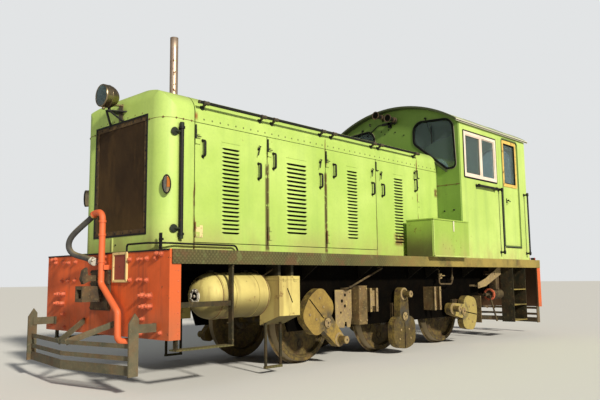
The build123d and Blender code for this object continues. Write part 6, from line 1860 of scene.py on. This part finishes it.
def cooling_gear():
    """Fan and belts on the engine's front, water hoses and the core's fins."""
    fan, hoses, fins = Mesh(), Mesh(), Mesh()
    hub = Vector((3.060, 0, 2.060))
    fan.lathe([(0.060, -0.110), (0.060, 0.000), (0.085, 0.010), (0.085, 0.050), (0.040, 0.060), (0, 0.060)],
              hub, X)
    for dy, dz in around(6, 1.0):
        way, across = Vector((0, dy, dz)), Vector((0, -dz, dy))
        sections = []
        for reach, width in ((0.070, 0.040), (0.220, 0.075), (0.400, 0.095)):
            edge, lean = across * width, X * (width * 0.45)
            middle = hub + X * 0.030 + way * reach
            lower, upper = middle - edge - lean, middle + edge + lean
            sections.append([lower, upper, upper + X * 0.004, lower + X * 0.004])
        fan.skin(sections)
    for z, radius in ((2.060, 0.090), (1.640, 0.140)):
        fan.lathe([(radius, 0), (radius, 0.012), (radius * 0.93, 0.020), (radius, 0.028), (radius, 0.040),
                   (0, 0.040)], (2.951, 0, z), X, 32)
    for side in (-1, 1):
        fan.tube([(2.973, side * 0.092, 2.060), (2.973, side * 0.141, 1.640)], 0.009, 8)
    hoses.tube([(2.948, 0.230, 2.380), (3.200, 0.230, 2.400), (3.400, 0.160, 2.520), (3.585, 0.160, 2.540)],
               0.036, 18)
    hoses.tube([(2.948, -0.230, 1.560), (3.250, -0.230, 1.560), (3.400, -0.300, 1.500),
                (3.585, -0.300, 1.500)], 0.036, 18)
    for place in ((3.000, 0.230, 2.384), (3.540, 0.160, 2.534), (3.000, -0.230, 1.560),
                  (3.540, -0.300, 1.502)):
        hoses.ring([(0.035, -0.008), (0.040, -0.008), (0.040, 0.008), (0.035, 0.008)], place, (1, 0, 0.02),
                   20)
    for index in range(40):
        z = 1.480 + index * 0.028
        fins.box((3.5745, -0.520, z), (3.5800, 0.520, z + 0.004))
    fins.front_frame(rect(-0.560, 0.560, 1.400, 2.660), rect(-0.525, 0.525, 1.460, 2.610), 3.5800, -0.012)
    fan.build("cooling_fan", BLACK, "engine_paint", bevel=0.001)
    hoses.build("water_hoses", RUBBER, "hose_rubber")
    fins.build("core_fins", BRASS, "grille_paint")


def desk_controls():
    """Gauges on the desk's slanted face, levers, valve handle and switches."""
    rims, dials, knobs, levers = Mesh(), Mesh(), Mesh(), Mesh()
    low, high = Vector((-1.880, 0, 2.160)), Vector((-1.790, 0, 2.340))
    face = Vector((-(high.z - low.z), 0, high.x - low.x)).normalized()
    slope = (high - low).normalized()
    for y, reach, radius in ((-0.480, 0.105, 0.052), (-0.340, 0.105, 0.052), (-0.200, 0.105, 0.052),
                             (-0.070, 0.105, 0.042), (0.040, 0.105, 0.042), (0.400, 0.105, 0.046),
                             (0.510, 0.105, 0.046)):
        place = low + slope * reach + Vector((0, y, 0))
        rims.ring([(radius * 0.86, 0.001), (radius, 0.001), (radius, 0.013), (radius * 0.93, 0.017),
                   (radius * 0.86, 0.014)], place, face, 28)
        dials.lathe([(radius * 0.88, 0.001), (radius * 0.88, 0.006), (0, 0.006)], place, face, 28)
        needle = slope * 0.8 + Vector((0, 0.6, 0))
        knobs.rod(place + face * 0.008, place + face * 0.008 + needle * radius * 0.62, 0.0020, 6)
        knobs.lathe([(0.006, 0.006), (0.006, 0.011), (0, 0.012)], place, face, 12)
    for index in range(6):
        place = low + slope * 0.035 + Vector((0, -0.480 + index * 0.070, 0))
        knobs.lathe([(0.011, 0.000), (0.011, 0.004), (0.004, 0.006), (0.0035, 0.022), (0.005, 0.024),
                     (0, 0.026)], place, face, 12)
    for y, lean in ((-0.560, -0.050), (0.150, -0.020)):
        base = Vector((-1.600, y, 2.3395))
        tip = base + Vector((lean, 0, 0.190))
        levers.lathe([(0.045, 0), (0.045, 0.008), (0.022, 0.020), (0.012, 0.030), (0, 0.030)], base, Z, 20)
        levers.rod(base, tip, 0.008, 12)
        knobs.lathe([(0.006, -0.010), (0.020, 0.002), (0.024, 0.016), (0.018, 0.030), (0, 0.036)], tip,
                    tip - base, 18)
    knobs.lathe([(0.015, -0.014), (0.026, -0.004), (0.029, 0.012), (0.020, 0.026), (0, 0.031)],
                (-1.900, 0.250, 2.2957), (-0.76, 0, 0.65), 20)
    valve = Vector((-1.560, 0.520, 2.3395))
    levers.lathe([(0.050, 0), (0.050, 0.030), (0.038, 0.040), (0.038, 0.090), (0.020, 0.104), (0, 0.106)],
                 valve, Z, 24)
    levers.tube([valve + Vector((0, 0, 0.095)), valve + Vector((-0.050, -0.030, 0.105)),
                 valve + Vector((-0.170, -0.090, 0.100))], 0.009, 10)
    rims.build("gauge_rims", BRASS, "cab_interior")
    dials.build("gauge_dials", COUPLING, "cab_interior")
    knobs.build("desk_knobs", BLACK, "black_paint")
    levers.build("desk_levers", CHROME, "cab_interior")


def cab_inside():
    """Rubber mat, skirting, wall cupboard and the hand brake's pillar and wheel."""
    mat, joinery, metal = Mesh(), Mesh(), Mesh()
    mat.box((-3.200, -0.560, 1.5395), (-1.980, 0.560, 1.5475))
    for index in range(22):
        x = -3.170 + index * 0.056
        mat.box((x, -0.545, 1.5470), (x + 0.014, 0.545, 1.5505))
    joinery.box((-3.640, -1.150, 1.5395), (-3.420, 1.150, 1.640))
    joinery.box((-3.640, -0.280, 1.640), (-3.400, 0.280, 2.180))
    for low, high in ((-0.262, -0.006), (0.006, 0.262)):
        joinery.box((-3.402, low, 1.680), (-3.392, high, 2.160))
    for y in (-0.030, 0.030):
        metal.rod((-3.393, y, 1.930), (-3.370, y, 1.930), 0.009, 12)
    pillar = Vector((-1.990, 0.860, 1.5395))
    metal.lathe([(0.110, 0), (0.110, 0.012), (0.045, 0.030), (0.036, 0.060), (0.036, 0.760), (0.050, 0.790),
                 (0.050, 0.850), (0.018, 0.860), (0.018, 0.900), (0, 0.902)], pillar, Z)
    top = pillar + Z * 0.885
    metal.ring([(0.158, -0.006), (0.170, -0.011), (0.182, -0.006), (0.182, 0.006), (0.170, 0.011),
                (0.158, 0.006)], top, Z, 40)
    for dx, dy in around(4, 0.164, 20):
        metal.rod(top, top + Vector((dx, dy, 0)), 0.008, 10)
    metal.tube([(-1.300, -0.620, 2.345), (-1.300, -0.640, 2.450), (-1.300, -0.620, 2.600)], 0.012, 10)
    mat.build("cab_mat", RUBBER, "cab_interior")
    joinery.build("cab_cupboard", INSIDE, "cab_interior", bevel=0.004)
    metal.build("hand_brake", BLACK, "black_paint")


# Places of the buttons on a pad, as shares of its half sizes
BUTTONS = ((-0.42, -0.42), (0.42, -0.42), (-0.42, 0.42), (0.42, 0.42), (0, 0))


def pad_point(a, b, side):
    """Place on a crowned pad, as shares of its half sizes: pinched at its edge, and buttoned on side 1."""
    inward = 1 - 0.030 * (1 - a * a) * b ** 8 - 0.030 * (1 - b * b) * a ** 8
    inward *= 1 - 0.060 * (a * b) ** 6
    full = ((1 - abs(a) ** 5) * (1 - abs(b) ** 5)) ** 0.42
    rise = 0.72 + 0.28 * (1 - a * a) * (1 - b * b) + 0.020 * math.sin(9 * a + 4 * b) * math.sin(5 * b - 3 * a)
    if side > 0:
        rise -= sum(0.22 * math.exp(-((a - da) ** 2 + (b - db) ** 2) / 0.010) for da, db in BUTTONS)
    return a * inward, b * inward, side * full * rise


def cushion(name, centre, size, u, v, steps=28):
    """Leather pad in the plane of u and v, with a piped seam and its buttons."""
    u, v, up = (axis * (length / 2) for axis, length in zip((u, v, u.cross(v)), size))
    centre = Vector(centre)
    verts, faces, grid = [], [], {}
    for side in (1, -1):
        for i in range(steps + 1):
            for j in range(steps + 1):
                if side < 0 and (i in (0, steps) or j in (0, steps)):
                    grid[side, i, j] = grid[1, i, j]
                    continue
                a, b, rise = pad_point(2 * i / steps - 1, 2 * j / steps - 1, side)
                grid[side, i, j] = len(verts)
                verts.append(centre + u * a + v * b + up * rise)
        for i in range(steps):
            for j in range(steps):
                quad = (grid[side, i, j], grid[side, i + 1, j], grid[side, i + 1, j + 1],
                        grid[side, i, j + 1])
                faces.append(quad[::side])
    pad = Mesh(verts, faces).build(name, LEATHER, "seat_cover", smooth=60.0)
    run = range(steps)
    rim = [(i, 0) for i in run] + [(steps, j) for j in run]
    rim += [(steps - i, steps - j) for i, j in rim]
    seam = [verts[grid[1, i, j]] for i, j in rim + rim[:2]]
    piping = Mesh()
    piping.tube([point + (centre - point).normalized() * 0.003 for point in seam], 0.0042, 8, smooth=False)
    for da, db in BUTTONS:
        piping.lathe([(0.010, 0), (0.009, 0.004), (0.005, 0.006), (0, 0.0065)],
                     centre + u * da + v * db + up * 0.70, up, 14)
    piping.build(f"{name}_piping", BLACK, "seat_cover")
    return pad


def seat():
    seat_pad = cushion("seat_pad", (-2.305, -0.430, 2.0153), (0.384, 0.414, 0.088), X, Y)
    cushion("back_pad", (-2.4647, -0.430, 2.2403), (0.394, 0.314, 0.078), Y, Z)
    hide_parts("seat_cushions")


engine_top()
engine_sides()
cooling_gear()
desk_controls()
cab_inside()
seat()


# Hoses


HOSE_ROUTE = (
    (4.160, -0.095, 1.725),
    (4.160, -0.140, 1.700),
    (4.171, -0.182, 1.673),
    (4.192, -0.223, 1.639),
    (4.218, -0.263, 1.599),
    (4.246, -0.299, 1.557),
    (4.270, -0.329, 1.515),
    (4.286, -0.350, 1.470),
    (4.292, -0.357, 1.424),
    (4.288, -0.352, 1.382),
    (4.274, -0.334, 1.346),
    (4.253, -0.308, 1.321),
    (4.228, -0.273, 1.305),
    (4.204, -0.228, 1.293),
    (4.187, -0.176, 1.280),
    (4.179, -0.121, 1.265),
    (4.176, -0.067, 1.249),
)
HOSE_DIAMETER = 0.062


def hose(name, node, turn):
    """Brake hose along its route, turned half a turn for the rear end."""
    data = bpy.data.curves.new(name, "CURVE")
    data.dimensions = "3D"
    spline = data.splines.new("NURBS")
    spline.points.add(len(HOSE_ROUTE) - 1)
    for point, (x, y, z) in zip(spline.points, HOSE_ROUTE):
        point.co = (x * turn, y * turn, z, 1)
    spline.order_u = 3
    spline.use_endpoint_u = True
    spline.resolution_u = 8
    data.bevel_depth = HOSE_DIAMETER / 2
    data.bevel_resolution = 6
    data.use_fill_caps = True
    data.materials.append(RUBBER)
    made = linked(name, data)
    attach(made, ROOT)
    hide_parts(node)


def hose_ends():
    """Brass ring on the gooseneck and the whitened coupling on the parking socket."""
    ring = Mesh()
    way = Vector((0, -0.874, -0.486))
    ring.lathe([(0.037, -0.018), (0.0415, -0.014), (0.0415, -0.002), (0.037, 0.002)], (4.160, -0.095, 1.725),
               way, 24)
    both_ends(ring).build("hose_rings", BRASS, "pipe_steel")
    coupling = Mesh()
    end = Vector(HOSE_ROUTE[-1])
    way = (end - Vector(HOSE_ROUTE[-2])).normalized()
    coupling.lathe([(0.036, -0.010), (0.041, -0.006), (0.0425, 0.010), (0.040, 0.016), (0.040, 0.040),
                    (0.0435, 0.046), (0.0435, 0.060), (0.036, 0.066), (0, 0.067)], end, way, 24)
    both_ends(coupling).build("hose_couplings", COUPLING, "pipe_steel")


hose("hose_front", "brake_hose_front", 1)
hose("hose_rear", "brake_hose_rear", -1)
hose_ends()
